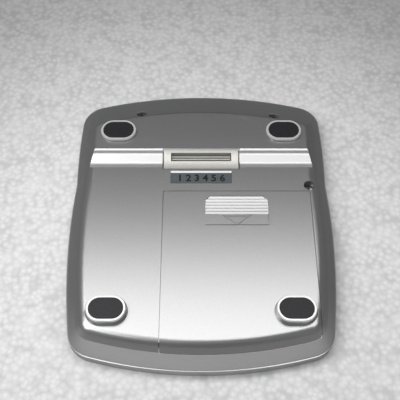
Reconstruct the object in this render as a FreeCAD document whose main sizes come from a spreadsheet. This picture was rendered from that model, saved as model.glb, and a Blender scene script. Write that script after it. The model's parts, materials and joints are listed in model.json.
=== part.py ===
import FreeCAD, Part
import Sketcher
import math
import os

# Electronic chess computer on its feet: X right, Y away from the player, Z up, millimetres.

SIZES = {
    # Outline seen from above
    "half_length": 95.0,
    "half_width": 78.8,
    "far_narrow": 1.0,
    "near_radius": 242.0,
    "far_radius": 250.0,
    "side_radius": 420.0,
    "far_side_radius": 450.0,
    "corner_radius": 16.0,
    # Heights
    "foot_height": 4.4,
    "bevel_height": 5.0,
    "wall_height": 10.3,
    "top_height": 8.3,
    # Steps inward from the outline
    "parting_step": 0.5,
    "wall_step": 5.9,
    "flat_step": 10.0,
    "far_wall_step": 16.0,
    "far_flat_step": 23.0,
    "wall": 2.0,
    "plate": 1.5,
    "top_edge_round": 2.4,
    "shoulder_round": 6.0,
    "joint_gap": 0.3,
    # Raised bar with its ramp
    "bar_rise": 2.4,
    "bar_round": 2.4,
    "ramp_lead": 2.1,
    "ramp_tail": 1.6,
    "ramp_sink": 0.1,
    "bar_inset": 0.05,
    # Feet
    "foot_side": 27.5,
    "foot_long": 19.0,
    "foot_wide": 12.4,
    "foot_seat": 1.0,
    "foot_sink": 0.6,
    "foot_fit": 0.1,
    "pedestal_rim": 1.4,
    "pedestal_draft": 14.0,
    # Compartment cover
    "cover_side": 14.2,
    "cover_wide": 87.0,
    "cover_thick": 1.9,
    "deck_thick": 1.2,
    "hook_inset": 7.5,
    "hook_thick": 1.6,
    "hook_reach": 1.2,
    "thumb_offset": 0.2,
    "thumb_wide": 37.0,
    "thumb_back": 3.3,
    "thumb_long": 20.1,
    "thumb_deep": 1.0,
    "grip_pitch": 2.1,
    "grip_tall": 0.4,
    "groove_wide": 0.6,
    "groove_deep": 0.3,
    "thumb_corner": 2.6,
    "grip_count": 6,
    # Battery well and cells
    "cell_radius": 7.1,
    "cell_long": 49.0,
    "cell_pitch": 14.6,
    "cell_count": 4,
    "nub_radius": 2.75,
    "nub_long": 1.3,
    "well_end": 2.4,
    "contact_thick": 0.5,
    # Label and socket
    "label_half": 18.5,
    "label_space": 5.5,
    "label_wide": 9.1,
    "label_deep": 0.5,
    "label_thick": 0.3,
    "insert_half": 23.0,
    "insert_space": 1.6,
    "insert_wide": 11.8,
    "insert_top": 10.0,
    "insert_flange": 1.6,
    "slot_half": 18.4,
    "slot_offset": 5.2,
    "slot_wide": 5.3,
    "slot_deep": 5.2,
    "strip_thick": 0.6,
    # Screws
    "screw_radius": 1.5,
    "screw_head": 2.8,
    "head_tall": 1.8,
    "head_bore": 3.2,
    "boss_radius": 4.4,
    "post_radius": 3.4,
    "screw_fit": 0.05,
    "seat_level": 11.5,
    "screw_bite": 3.6,
    "right_screw_x": 37.8,
    "left_screw_x": -46.2,
    "deck_screw_step": 5.0,
    "side_screw_step": 4.1,
    # Playing board
    "board_rim": 0.6,
    "near_margin": 13.0,
    "board_recess": 1.5,
    "membrane_thick": 0.4,
    "board_thick": 0.5,
    "tile_thick": 0.3,
    "tile_gap": 0.4,
    # Control panel
    "panel_half": 62.0,
    "panel_long": 42.0,
    "divider": 4.6,
    "far_margin": 14.0,
    "window_half": 27.6,
    "window_ledge": 2.0,
    "window_thick": 0.8,
    "window_fit": 0.1,
    "lcd_half": 29.0,
    "lcd_rim": 1.4,
    "lcd_thick": 2.0,
    "frame_wall": 1.8,
    "board_level": 19.0,
    "pcb_thick": 1.6,
    "pcb_fit": 0.5,
    "pcb_neck": 54.0,
    # Keys
    "file_key_space": 3.4,
    "file_key_wide": 7.5,
    "wide_key_margin": 15.0,
    "key_row_margin": 4.4,
    "wide_key_long": 20.0,
    "wide_key_wide": 9.0,
    "key_edge": 0.5,
    "key_proud": 1.2,
    "key_gap": 0.25,
    "key_flange": 1.0,
    "flange_thick": 0.8,
    "flange_gap": 0.2,
    "key_travel": 0.9,
    "key_stop": 0.1,
    "stem_radius": 1.6,
    "mat_thick": 1.0,
    "collar_tall": 1.0,
    "collar_wall": 1.0,
    # Small electronics
    "chip_half": 7.0,
    "chip_thick": 1.8,
    "buzzer_x": 52.0,
    "buzzer_radius": 8.0,
    "buzzer_thick": 2.4,
    "slit_count": 5,
    "slit_pitch": 2.4,
    "slit_wide": 1.0,
    "slit_long": 11.0,
    "far_post_x": 35.2,
    "pcb_post_radius": 2.4,
    "pcb_screw_radius": 1.0,
    "pcb_screw_head": 1.9,
}

# Places along the case, measured from its far end toward the player
FROM_FAR_END = {
    "far_side_centre": 50.0,
    "far_foot_y": 41.7,
    "cover_far": 84.4,
    "right_screw_y": 26.2,
    "left_screw_y": 27.8,
}

# Places along the case, measured from its near end
FROM_NEAR_END = {
    "side_centre": 84.0,
    "near_foot_y": 28.6,
    "hook_near": 25.0,
    "hook_far": 71.0,
    "cell_y": 46.5,
}

# Places on the control panel, measured from the panel's far edge
FROM_PANEL_EDGE = {
    "window_near": 23.0,
    "window_far": 4.0,
    "wide_key_y": 24.0,
    "file_key_y": 35.0,
    "pcb_near": 41.0,
    "pcb_far": 1.0,
    "pcb_post_y": 35.0,
    "far_post_y": 4.0,
    "buzzer_y": 9.5,
}

doc = FreeCAD.newDocument("ChessComputer")
sheet = doc.addObject("Spreadsheet::Sheet", "Sheet")
nodes = []


class Size:
    """A number together with the sheet expression that keeps it true."""

    def __init__(self, number, text):
        self.number = number
        self.text = text

    def join(self, sign, other, number):
        return Size(number, "(%s %s %s)" % (self.text, sign, other.text))

    def __add__(self, other):
        other = size(other)
        return self.join("+", other, self.number + other.number)

    def __sub__(self, other):
        other = size(other)
        return self.join("-", other, self.number - other.number)

    def __mul__(self, other):
        other = size(other)
        return self.join("*", other, self.number * other.number)

    def __truediv__(self, other):
        other = size(other)
        return self.join("/", other, self.number / other.number)

    def __neg__(self):
        return size(0) - self


def size(value):
    """Give a plain number the form of a Size."""
    return value if isinstance(value, Size) else Size(float(value), repr(float(value)))


class Names:
    """Sizes of the sheet by name."""


S = Names()


def fill_sheet():
    """Write each driving dimension into its cell and give the cell its alias."""
    cells = {**SIZES, **FROM_FAR_END, **FROM_NEAR_END, **FROM_PANEL_EDGE}
    for row, (name, value) in enumerate(cells.items(), start=1):
        sheet.set("A%d" % row, repr(value))
        sheet.setAlias("A%d" % row, name)
        setattr(S, name, Size(float(value), "Sheet." + name))
    doc.recompute()


def bind(thing, prop, value):
    """Set a property to a size and keep it tied to the sheet."""
    thing.setExpression(prop, size(value).text)


def keep(thing, label):
    """Give a finished sub-part its label and put it on the list of nodes."""
    thing.Label = label
    nodes.append(thing)
    return thing


def new_body(label):
    """Start a body that becomes one node."""
    return keep(doc.addObject("PartDesign::Body", label + "_body"), label)


def new_sketch(body, name, level, plane="XY_Plane"):
    """Put a sketch on a plane of the body's origin, lifted along its normal to a level."""
    support = [item for item in body.Origin.OriginFeatures if item.Role == plane][0]
    sketch = body.newObject("Sketcher::SketchObject", name)
    sketch.AttachmentSupport = [(support, "")]
    sketch.MapMode = "FlatFace"
    bind(sketch, "AttachmentOffset.Base.z", level)
    return sketch


def limit(sketch, kind, where, value):
    """Add one constraint with a value tied to the sheet."""
    value = size(value)
    index = sketch.addConstraint(Sketcher.Constraint(kind, *where, value.number))
    sketch.setExpression("Constraints[%d]" % index, value.text)


def tie(sketch, kind, *where):
    """Add one constraint without a value."""
    sketch.addConstraint(Sketcher.Constraint(kind, *where))


def place_point(sketch, shape, end, x, y):
    """Fix a point of a sketch at X and Y from the sketch's origin."""
    limit(sketch, "DistanceX", (-1, 1, shape, end), x)
    limit(sketch, "DistanceY", (-1, 1, shape, end), y)


def vector(x, y):
    """A sketch point from two sizes."""
    return FreeCAD.Vector(size(x).number, size(y).number, 0)


def polygon(sketch, points):
    """Draw a closed polygon through points given as pairs of sizes."""
    first = sketch.GeometryCount
    count = len(points)
    for index in range(count):
        start = vector(*points[index])
        end = vector(*points[(index + 1) % count])
        sketch.addGeometry(Part.LineSegment(start, end), False)
    for index in range(count):
        tie(sketch, "Coincident", first + index, 2, first + (index + 1) % count, 1)
    for index in range(count):
        place_point(sketch, first + index, 1, *points[index])


def rectangle(sketch, left, right, near, far):
    """Draw a rectangle by its four sides."""
    polygon(sketch, [(left, near), (right, near), (right, far), (left, far)])


def circle(sketch, x, y, radius):
    """Draw a circle by its centre and radius."""
    ring = Part.Circle(vector(x, y), FreeCAD.Vector(0, 0, 1), size(radius).number)
    index = sketch.addGeometry(ring, False)
    place_point(sketch, index, 3, x, y)
    limit(sketch, "Radius", (index,), radius)


def stadium(sketch, x, y, long, wide):
    """Draw a slot shape along X with round ends."""
    x, y, long, wide = size(x), size(y), size(long), size(wide)
    radius = wide / 2
    reach = (long - wide) / 2
    first = sketch.GeometryCount
    axis = FreeCAD.Vector(0, 0, 1)
    left = Part.Circle(vector(x - reach, y), axis, radius.number)
    right = Part.Circle(vector(x + reach, y), axis, radius.number)
    sketch.addGeometry(Part.ArcOfCircle(left, math.pi / 2, 3 * math.pi / 2), False)
    sketch.addGeometry(Part.LineSegment(vector(x - reach, y - radius), vector(x + reach, y - radius)), False)
    sketch.addGeometry(Part.ArcOfCircle(right, -math.pi / 2, math.pi / 2), False)
    sketch.addGeometry(Part.LineSegment(vector(x + reach, y + radius), vector(x - reach, y + radius)), False)
    for index in range(4):
        tie(sketch, "Tangent", first + index, 2, first + (index + 1) % 4, 1)
    place_point(sketch, first, 3, x - reach, y)
    place_point(sketch, first + 2, 3, x + reach, y)
    limit(sketch, "Radius", (first,), radius)


def meet(c1, r1, c2, r2, toward):
    """Point where two circles meet, the one nearer to a given point."""
    gap = c2 - c1
    length = gap.Length
    along = (r1 * r1 - r2 * r2 + length * length) / (2 * length)
    height = math.sqrt(max(r1 * r1 - along * along, 0))
    side = FreeCAD.Vector(-gap.y, gap.x, 0).normalize() * height
    foot = c1 + FreeCAD.Vector(gap).normalize() * along
    return min((foot + side, foot - side), key=lambda point: (point - toward).Length)


def outline(sketch, near_step, side_step, far_step):
    """Draw the bowed outline of the case, moved inward by a step on each side.

    Near, far and four side arcs keep their centres; tangent corner arcs join them,
    and the two side arcs of one side meet at the waist.
    """
    corner = S.corner_radius - side_step
    far_half = S.half_width - S.far_narrow
    rows = {
        "near": (size(0), S.near_radius - S.half_length, S.near_radius - near_step),
        "right": (S.half_width - S.side_radius, S.side_centre, S.side_radius - side_step),
        "far_right": (far_half - S.far_side_radius, S.far_side_centre, S.far_side_radius - side_step),
        "far": (size(0), S.half_length - S.far_radius, S.far_radius - far_step),
        "far_left": (S.far_side_radius - far_half, S.far_side_centre, S.far_side_radius - side_step),
        "left": (S.side_radius - S.half_width, S.side_centre, S.side_radius - side_step),
    }
    middle = {name: vector(row[0], row[1]) for name, row in rows.items()}
    radius = {name: row[2].number for name, row in rows.items()}
    order = ["near", "right", "far_right", "far", "far_left", "left"]
    pieces = []
    for index, name in enumerate(order):
        after = order[(index + 1) % len(order)]
        pieces.append((name, middle[name], radius[name]))
        if {name, after} not in ({"right", "far_right"}, {"left", "far_left"}):
            toward = vector(S.half_width if "right" in (name + after) else -S.half_width,
                            -S.half_length if "near" in (name, after) else S.half_length)
            centre = meet(middle[name], radius[name] - corner.number,
                          middle[after], radius[after] - corner.number, toward)
            pieces.append(("corner", centre, corner.number))
    joints = []
    for index, (name, centre, reach) in enumerate(pieces):
        other_name, other, other_reach = pieces[(index + 1) % len(pieces)]
        if name == "corner" or other_name == "corner":
            big, small = (centre, other) if other_name == "corner" else (other, centre)
            away = (small - big).normalize()
            joints.append(small + away * corner.number)
        else:
            waist = vector(S.half_width if "right" in name else -S.half_width, S.side_centre)
            joints.append(meet(centre, reach, other, other_reach, waist))
    axis = FreeCAD.Vector(0, 0, 1)
    count = len(pieces)
    for index, (name, centre, reach) in enumerate(pieces):
        start = joints[index - 1] - centre
        end = joints[index] - centre
        first = math.atan2(start.y, start.x)
        last = math.atan2(end.y, end.x)
        if last < first:
            last += 2 * math.pi
        sketch.addGeometry(Part.ArcOfCircle(Part.Circle(centre, axis, reach), first, last), False)
    for index, (name, centre, reach) in enumerate(pieces):
        after = (index + 1) % count
        kind = "Tangent" if "corner" in (name, pieces[after][0]) else "Coincident"
        tie(sketch, kind, index, 2, after, 1)
        if name == "corner":
            limit(sketch, "Radius", (index,), corner)
        else:
            place_point(sketch, index, 3, rows[name][0], rows[name][1])
            limit(sketch, "Radius", (index,), rows[name][2])


def pad(body, sketch, length, down=False, draft=None):
    """Raise a sketch by a length, up or down."""
    feature = body.newObject("PartDesign::Pad", "Pad")
    feature.Profile = sketch
    bind(feature, "Length", length)
    feature.Reversed = down
    if draft is not None:
        bind(feature, "TaperAngle", draft)
    sketch.Visibility = False
    return feature


def pocket(body, sketch, depth, down=False):
    """Cut a sketch into the body, upward unless told otherwise."""
    feature = body.newObject("PartDesign::Pocket", "Pocket")
    feature.Profile = sketch
    bind(feature, "Length", depth)
    feature.Reversed = not down
    return feature


def loft(body, kind, sketches):
    """Join outlines of several levels by a ruled loft, adding or cutting."""
    feature = body.newObject("PartDesign::" + kind, kind)
    feature.Profile = sketches[0]
    feature.Sections = sketches[1:]
    feature.Ruled = True
    return feature


def edges_at(shape, level, reach=0.01):
    """Names of the edges that lie whole at one level."""
    found = []
    for index, edge in enumerate(shape.Edges, start=1):
        box = edge.BoundBox
        if abs(box.ZMin - level) < reach and abs(box.ZMax - level) < reach:
            found.append("Edge%d" % index)
    return found


def edges_under(shape, level, reach=0.01):
    """Names of the edges at or below a level that don't run straight across the case."""
    found = []
    for index, edge in enumerate(shape.Edges, start=1):
        box = edge.BoundBox
        if box.ZMax < level + reach and box.YLength > reach:
            found.append("Edge%d" % index)
    return found


def round_edges(body, level, radius, find=edges_at):
    """Round the edges of the body that lie at a level, or those that another search finds."""
    doc.recompute()
    tip = body.Tip
    fillet = body.newObject("PartDesign::Fillet", "Fillet")
    fillet.Base = (tip, find(tip.Shape, size(level).number))
    bind(fillet, "Radius", radius)
    return fillet


def box(name, left, right, near, far, low, high):
    """A block by its six sides."""
    block = doc.addObject("Part::Box", name)
    bind(block, "Length", size(right) - left)
    bind(block, "Width", size(far) - near)
    bind(block, "Height", size(high) - low)
    for axis, value in zip("xyz", (left, near, low)):
        bind(block, "Placement.Base." + axis, value)
    return block


def upright(name, x, y, low, high, radius):
    """A standing cylinder."""
    rod = doc.addObject("Part::Cylinder", name)
    bind(rod, "Radius", radius)
    bind(rod, "Height", size(high) - low)
    for axis, value in zip("xyz", (x, y, low)):
        bind(rod, "Placement.Base." + axis, value)
    return rod


def lying(name, x, z, near, far, radius):
    """A cylinder along Y."""
    rod = doc.addObject("Part::Cylinder", name)
    bind(rod, "Radius", radius)
    bind(rod, "Height", size(far) - near)
    rod.Placement.Rotation = FreeCAD.Rotation(FreeCAD.Vector(1, 0, 0), -90)
    for axis, value in zip("xyz", (x, near, z)):
        bind(rod, "Placement.Base." + axis, value)
    return rod


def fuse(name, pieces):
    """Join pieces to one solid."""
    joined = doc.addObject("Part::MultiFuse", name)
    joined.Shapes = pieces
    return joined


def cut(name, base, tool):
    """Take one piece out of another."""
    rest = doc.addObject("Part::Cut", name)
    rest.Base = base
    rest.Tool = tool
    return rest


def group(label, pieces):
    """Keep several separate solids as one node."""
    held = doc.addObject("Part::Compound", label + "_group")
    held.Links = pieces
    return keep(held, label)


fill_sheet()

# Board and panel share the length of the case; places along it follow its ends
PANEL_FAR = S.half_length - S.far_margin
PANEL_NEAR = PANEL_FAR - S.panel_long
BOARD_NEAR = S.near_margin - S.half_length
BOARD_SIDE = PANEL_NEAR - S.divider - BOARD_NEAR
SQUARE = (BOARD_SIDE - S.board_rim * 2) / 8
for name in FROM_FAR_END:
    setattr(S, name, S.half_length - getattr(S, name))
for name in FROM_NEAR_END:
    setattr(S, name, getattr(S, name) - S.half_length)
for name in FROM_PANEL_EDGE:
    setattr(S, name, PANEL_FAR - getattr(S, name))

# Underside from the cover to the bar, each piece placed from the one before it
FOOT_X = S.half_width - S.foot_side
COVER_LEFT = S.cover_side - S.half_width
COVER_RIGHT = COVER_LEFT + S.cover_wide
COVER_MIDDLE = (COVER_LEFT + COVER_RIGHT) / 2
THUMB_X = COVER_MIDDLE + S.thumb_offset
THUMB_FAR = S.cover_far - S.thumb_back
THUMB_NEAR = THUMB_FAR - S.thumb_long
LABEL_NEAR = S.cover_far + S.label_space
LABEL_FAR = LABEL_NEAR + S.label_wide
INSERT_NEAR = LABEL_FAR + S.insert_space
INSERT_FAR = INSERT_NEAR + S.insert_wide
SLOT_NEAR = INSERT_NEAR + S.slot_offset
SLOT_FAR = SLOT_NEAR + S.slot_wide
RAMP_FOOT = INSERT_NEAR + S.ramp_lead
BAR_NEAR = INSERT_FAR + S.ramp_tail

# Levels that several pieces share
BASE = S.foot_height
BAR = BASE - S.bar_rise
BEVEL = BASE + S.bevel_height
PARTING = BEVEL + S.wall_height
TOP = PARTING + S.top_height
PANEL = TOP - S.board_recess
PLATE = PANEL - S.plate
FLOOR = BASE + S.wall
COVER_TOP = BASE + S.cover_thick
DECK = COVER_TOP + S.joint_gap
DECK_TOP = DECK + S.deck_thick
HOOK = DECK_TOP + S.joint_gap
PCB_TOP = S.board_level + S.pcb_thick
MAT_TOP = PCB_TOP + S.mat_thick
KEY_FLANGE = PLATE - S.flange_gap - S.flange_thick
CELL_Z = COVER_TOP + S.joint_gap * 2 + S.cell_radius

# Battery well
CELL_NEAR = S.cell_y - S.cell_long / 2
CELL_FAR = S.cell_y + S.cell_long / 2
WELL_LEFT = COVER_MIDDLE - S.cell_pitch * S.cell_count / 2 - S.joint_gap
WELL_RIGHT = COVER_MIDDLE + S.cell_pitch * S.cell_count / 2 + S.joint_gap
WELL_NEAR = CELL_NEAR - S.well_end
WELL_FAR = CELL_FAR + S.nub_long + S.well_end
WELL_TOP = CELL_Z + S.cell_radius + S.joint_gap

# Keys: centre, length and width of each cap by name
FILES = "abcdefgh"
KEY_PITCH = (S.panel_half - S.key_row_margin) / 4
WIDE_KEY_X = S.panel_half - S.wide_key_margin
KEYS = {}
for number, letter in enumerate(FILES):
    KEYS["key_file_" + letter] = (KEY_PITCH * (number - 3.5), S.file_key_y, KEY_PITCH - S.file_key_space,
                                  S.file_key_wide)
KEYS["key_enter"] = (WIDE_KEY_X, S.wide_key_y, S.wide_key_long, S.wide_key_wide)
KEYS["key_clear"] = (-WIDE_KEY_X, S.wide_key_y, S.wide_key_long, S.wide_key_wide)

# Places of the screws: three in the open, two under the cover beside the well
SCREW_AT = {"far_right": (S.right_screw_x, S.right_screw_y), "far_left": (S.left_screw_x, S.left_screw_y),
            "left": (COVER_LEFT, S.cover_far + S.side_screw_step),
            "deck_right": (WELL_RIGHT + S.deck_screw_step, WELL_FAR + S.deck_screw_step),
            "deck_left": (WELL_LEFT - S.deck_screw_step, WELL_FAR + S.deck_screw_step)}

# Posts that carry the circuit board, clear of the key mat's wings
MAT_WING = WIDE_KEY_X + S.wide_key_long / 2 + S.key_flange
PCB_POST_X = MAT_WING + S.pcb_fit + S.pcb_post_radius
PCB_HALF = PCB_POST_X + S.pcb_post_radius
PCB_POSTS = [(PCB_POST_X, S.pcb_post_y), (-PCB_POST_X, S.pcb_post_y),
             (S.far_post_x, S.far_post_y), (-S.far_post_x, S.far_post_y)]


def section(body, name, level, near_step, side_step, far_step):
    """One level of the lower shell as an outline sketch."""
    sketch = new_sketch(body, name, level)
    outline(sketch, near_step, side_step, far_step)
    return sketch


def ramp_cut(sketch):
    """Side view of what is cut from the bar: all on its near side, up to the concave ramp."""
    run = BAR_NEAR - RAMP_FOOT
    rise = S.bar_rise + S.ramp_sink
    radius = (run * run / rise + rise) / 2
    below = BAR - S.wall
    above = BEVEL + S.wall
    points = [(BAR_NEAR, BAR), (BAR_NEAR, below), (-S.half_length, below), (-S.half_length, above),
              (RAMP_FOOT, above), (RAMP_FOOT, BASE + S.ramp_sink)]
    for index in range(5):
        sketch.addGeometry(Part.LineSegment(vector(*points[index]), vector(*points[index + 1])), False)
    centre = vector(RAMP_FOOT, BASE + S.ramp_sink - radius)
    start = vector(BAR_NEAR, BAR) - centre
    ring = Part.Circle(centre, FreeCAD.Vector(0, 0, 1), radius.number)
    sketch.addGeometry(Part.ArcOfCircle(ring, math.atan2(start.y, start.x), math.pi / 2), False)
    for index in range(4):
        tie(sketch, "Coincident", index, 2, index + 1, 1)
    tie(sketch, "Coincident", 4, 2, 5, 2)
    tie(sketch, "Coincident", 5, 1, 0, 1)
    for index in range(5):
        place_point(sketch, index, 1, *points[index])
    place_point(sketch, 4, 2, *points[5])
    limit(sketch, "Radius", (5,), radius)


def pedestals(body, places, base, seat):
    """Drafted stadium pedestals from a base level down to the seats of the feet, with pad recesses."""
    rim = S.pedestal_rim * 2
    for x, y in places:
        sketch = new_sketch(body, "Pedestal", seat)
        stadium(sketch, x, y, S.foot_long + rim, S.foot_wide + rim)
        pad(body, sketch, base - seat + S.joint_gap, draft=S.pedestal_draft)
    for x, y in places:
        sketch = new_sketch(body, "FootRecess", seat)
        stadium(sketch, x, y, S.foot_long + S.foot_fit * 2, S.foot_wide + S.foot_fit * 2)
        pocket(body, sketch, S.foot_sink)


def bevel_piece(body, grow, shoulder, inside_level):
    """The cover's stretch of the bevelled base, grown by a gap and hollowed above a level.

    What is left above that level is the lip that wraps the near bevel. The shoulder is the
    rounding between base and bevel, less the gap where the stretch is a cut.
    """
    wall_step = S.wall_step - grow
    flat_step = S.flat_step - grow
    loft(body, "AdditiveLoft",
         [section(body, "LipWall", BEVEL + grow, wall_step, wall_step, S.far_wall_step),
          section(body, "LipFlat", BASE, flat_step, flat_step, S.far_flat_step)])
    round_edges(body, BASE, shoulder)
    trim = new_sketch(body, "LipTrim", BASE)
    reach = S.half_length * 2
    rectangle(trim, -reach, reach, -reach, reach)
    rectangle(trim, COVER_LEFT - grow, COVER_RIGHT + grow, S.wall - reach, S.cover_far + grow)
    pocket(body, trim, S.bevel_height + grow)
    inside_step = S.flat_step + grow
    inside = section(body, "LipInside", inside_level, inside_step, inside_step, S.far_flat_step - S.wall)
    pocket(body, inside, S.bevel_height + grow)


def make_bar():
    """Raised bar at the far end: the bevel carried further down, with a ramp on its near side."""
    body = doc.addObject("PartDesign::Body", "RaisedBar")
    drop = S.bar_rise / S.bevel_height
    side_slope = S.flat_step - S.wall_step
    far_slope = S.far_flat_step - S.far_wall_step
    wall_step = S.wall_step + S.bar_inset
    far_wall_step = S.far_wall_step + S.bar_inset
    bar_step = wall_step + side_slope + side_slope * drop
    far_bar_step = far_wall_step + far_slope + far_slope * drop
    loft(body, "AdditiveLoft", [section(body, "BarWall", BEVEL, wall_step, wall_step, far_wall_step),
                                section(body, "BarFlat", BAR, bar_step, bar_step, far_bar_step)])
    side = new_sketch(body, "RampCut", -S.half_width, "YZ_Plane")
    ramp_cut(side)
    pocket(body, side, S.half_width * 2)
    round_edges(body, BAR, S.bar_round, edges_under)
    return body


def make_bottom_housing():
    """Lower shell: drafted walls, ramp and bar, cover deck, battery well and screw bosses."""
    body = new_body("bottom_housing")
    wall = S.wall
    outer = [section(body, "OuterTop", PARTING, S.parting_step, S.parting_step, S.parting_step),
             section(body, "OuterWall", BEVEL, S.wall_step, S.wall_step, S.far_wall_step),
             section(body, "OuterFlat", BASE, S.flat_step, S.flat_step, S.far_flat_step)]
    loft(body, "AdditiveLoft", outer)
    round_edges(body, BASE, S.shoulder_round)
    join = body.newObject("PartDesign::Boolean", "BarJoin")
    join.Type = "Fuse"
    join.setObjects([make_bar()])
    top_step = S.parting_step + wall
    side_step = S.wall_step + wall
    floor_step = S.flat_step + wall
    inner = [section(body, "InnerTop", PARTING, top_step, top_step, top_step),
             section(body, "InnerWall", BEVEL + wall / 2, side_step, side_step, S.far_wall_step + wall),
             section(body, "InnerFloor", DECK_TOP, floor_step, floor_step, S.far_flat_step + wall)]
    loft(body, "SubtractiveLoft", inner)
    thin = new_sketch(body, "ThinFloor", FLOOR)
    right = S.half_width - S.flat_step - wall * 4
    rectangle(thin, COVER_RIGHT + wall, right, WELL_NEAR + S.corner_radius, S.cover_far + wall)
    pocket(body, thin, DECK_TOP - FLOOR)
    well = new_sketch(body, "WellWalls", FLOOR)
    rectangle(well, WELL_LEFT - wall, WELL_RIGHT + wall, WELL_NEAR - wall, WELL_FAR + wall)
    pad(body, well, WELL_TOP + S.plate - FLOOR)
    cover_zone = new_sketch(body, "CoverZone", BASE)
    rectangle(cover_zone, COVER_LEFT - S.joint_gap, COVER_RIGHT + S.joint_gap,
              -S.half_length, S.cover_far + S.joint_gap)
    pocket(body, cover_zone, DECK - BASE)
    lip = doc.addObject("PartDesign::Body", "LipRoom")
    bevel_piece(lip, S.joint_gap, S.joint_gap, BASE)
    room = body.newObject("PartDesign::Boolean", "LipCut")
    room.Type = "Cut"
    room.setObjects([lip])
    hollow = new_sketch(body, "WellHollow", BASE)
    rectangle(hollow, WELL_LEFT, WELL_RIGHT, WELL_NEAR, WELL_FAR)
    pocket(body, hollow, WELL_TOP - BASE)
    slots = new_sketch(body, "HookSlots", BASE)
    half = S.hook_thick / 2 + S.joint_gap
    for x in (COVER_LEFT + S.hook_inset, COVER_RIGHT - S.hook_inset):
        rectangle(slots, x - half, x + half, -S.half_length, S.hook_far + S.joint_gap)
    pocket(body, slots, BEVEL - BASE)
    run = new_sketch(body, "HookRun", DECK_TOP)
    reach = half + S.hook_reach
    for x in (COVER_LEFT + S.hook_inset, COVER_RIGHT - S.hook_inset):
        rectangle(run, x - reach, x + reach, -S.half_length, S.hook_far + S.joint_gap)
    pocket(body, run, BEVEL - DECK_TOP)
    pedestals(body, [(FOOT_X, S.near_foot_y)], BASE, S.foot_seat)
    pedestals(body, [(FOOT_X, S.far_foot_y), (-FOOT_X, S.far_foot_y)], BAR, S.foot_seat)
    label = new_sketch(body, "LabelRecess", BASE)
    rectangle(label, -S.label_half, S.label_half, LABEL_NEAR, LABEL_FAR)
    pocket(body, label, S.label_deep)
    notch = new_sketch(body, "InsertNotch", BAR)
    gap = S.joint_gap
    rectangle(notch, -S.insert_half - gap, S.insert_half + gap, INSERT_NEAR - gap, INSERT_FAR + gap)
    pocket(body, notch, DECK_TOP - BAR)
    for name, (x, y) in SCREW_AT.items():
        boss = new_sketch(body, "Boss", DECK)
        circle(boss, x, y, S.boss_radius)
        pad(body, boss, PARTING - DECK - S.joint_gap)
    for name, (x, y) in SCREW_AT.items():
        bore = new_sketch(body, "HeadBore", 0)
        circle(bore, x, y, S.head_bore)
        pocket(body, bore, S.seat_level)
        hole = new_sketch(body, "ScrewHole", 0)
        circle(hole, x, y, S.screw_radius + S.screw_fit)
        pocket(body, hole, PARTING)
    return body


def make_cover():
    """Sliding cover: plate with the bevelled near lip, hooks, thumb recess with grip steps, pedestal."""
    body = new_body("compartment_cover")
    bevel_piece(body, size(0), S.shoulder_round, COVER_TOP)
    for side, x in ((-1, COVER_LEFT + S.hook_inset), (1, COVER_RIGHT - S.hook_inset)):
        rib = new_sketch(body, "HookRib", COVER_TOP)
        rectangle(rib, x - S.hook_thick / 2, x + S.hook_thick / 2, S.hook_near, S.hook_far)
        pad(body, rib, BEVEL - COVER_TOP - S.joint_gap)
        lip = new_sketch(body, "HookLip", HOOK)
        edge = x + (S.hook_thick / 2 + S.hook_reach) * side
        low, high = (edge, x) if side < 0 else (x, edge)
        rectangle(lip, low, high, S.hook_near, S.hook_far)
        pad(body, lip, BEVEL - HOOK - S.joint_gap)
    thumb = new_sketch(body, "ThumbRamp", THUMB_X - S.thumb_wide / 2, "YZ_Plane")
    ramp_end = THUMB_FAR - S.grip_pitch * S.grip_count
    profile = [(THUMB_NEAR, BASE), (ramp_end, BASE + S.thumb_deep)]
    for number in range(SIZES["grip_count"], 0, -1):
        start = THUMB_FAR - S.grip_pitch * number
        floor = BASE + S.thumb_deep
        profile.append((start, floor + S.groove_deep))
        profile.append((start + S.groove_wide, floor + S.groove_deep))
        profile.append((start + S.groove_wide, floor))
        profile.append((start + S.grip_pitch, floor - S.grip_tall))
    polygon(thumb, profile + [(THUMB_FAR, BASE - 1), (THUMB_NEAR, BASE - 1)])
    pocket(body, thumb, S.thumb_wide)
    corners = new_sketch(body, "ThumbCorners", BASE)
    for side in (-1, 1):
        edge = THUMB_X + S.thumb_wide / 2 * side
        inner = edge - S.thumb_corner * side
        polygon(corners, [(inner, THUMB_FAR), (edge, THUMB_FAR), (edge, THUMB_FAR - S.thumb_corner)])
    pad(body, corners, S.cover_thick)
    pedestals(body, [(-FOOT_X, S.near_foot_y)], BASE, S.foot_seat)
    return body


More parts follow.
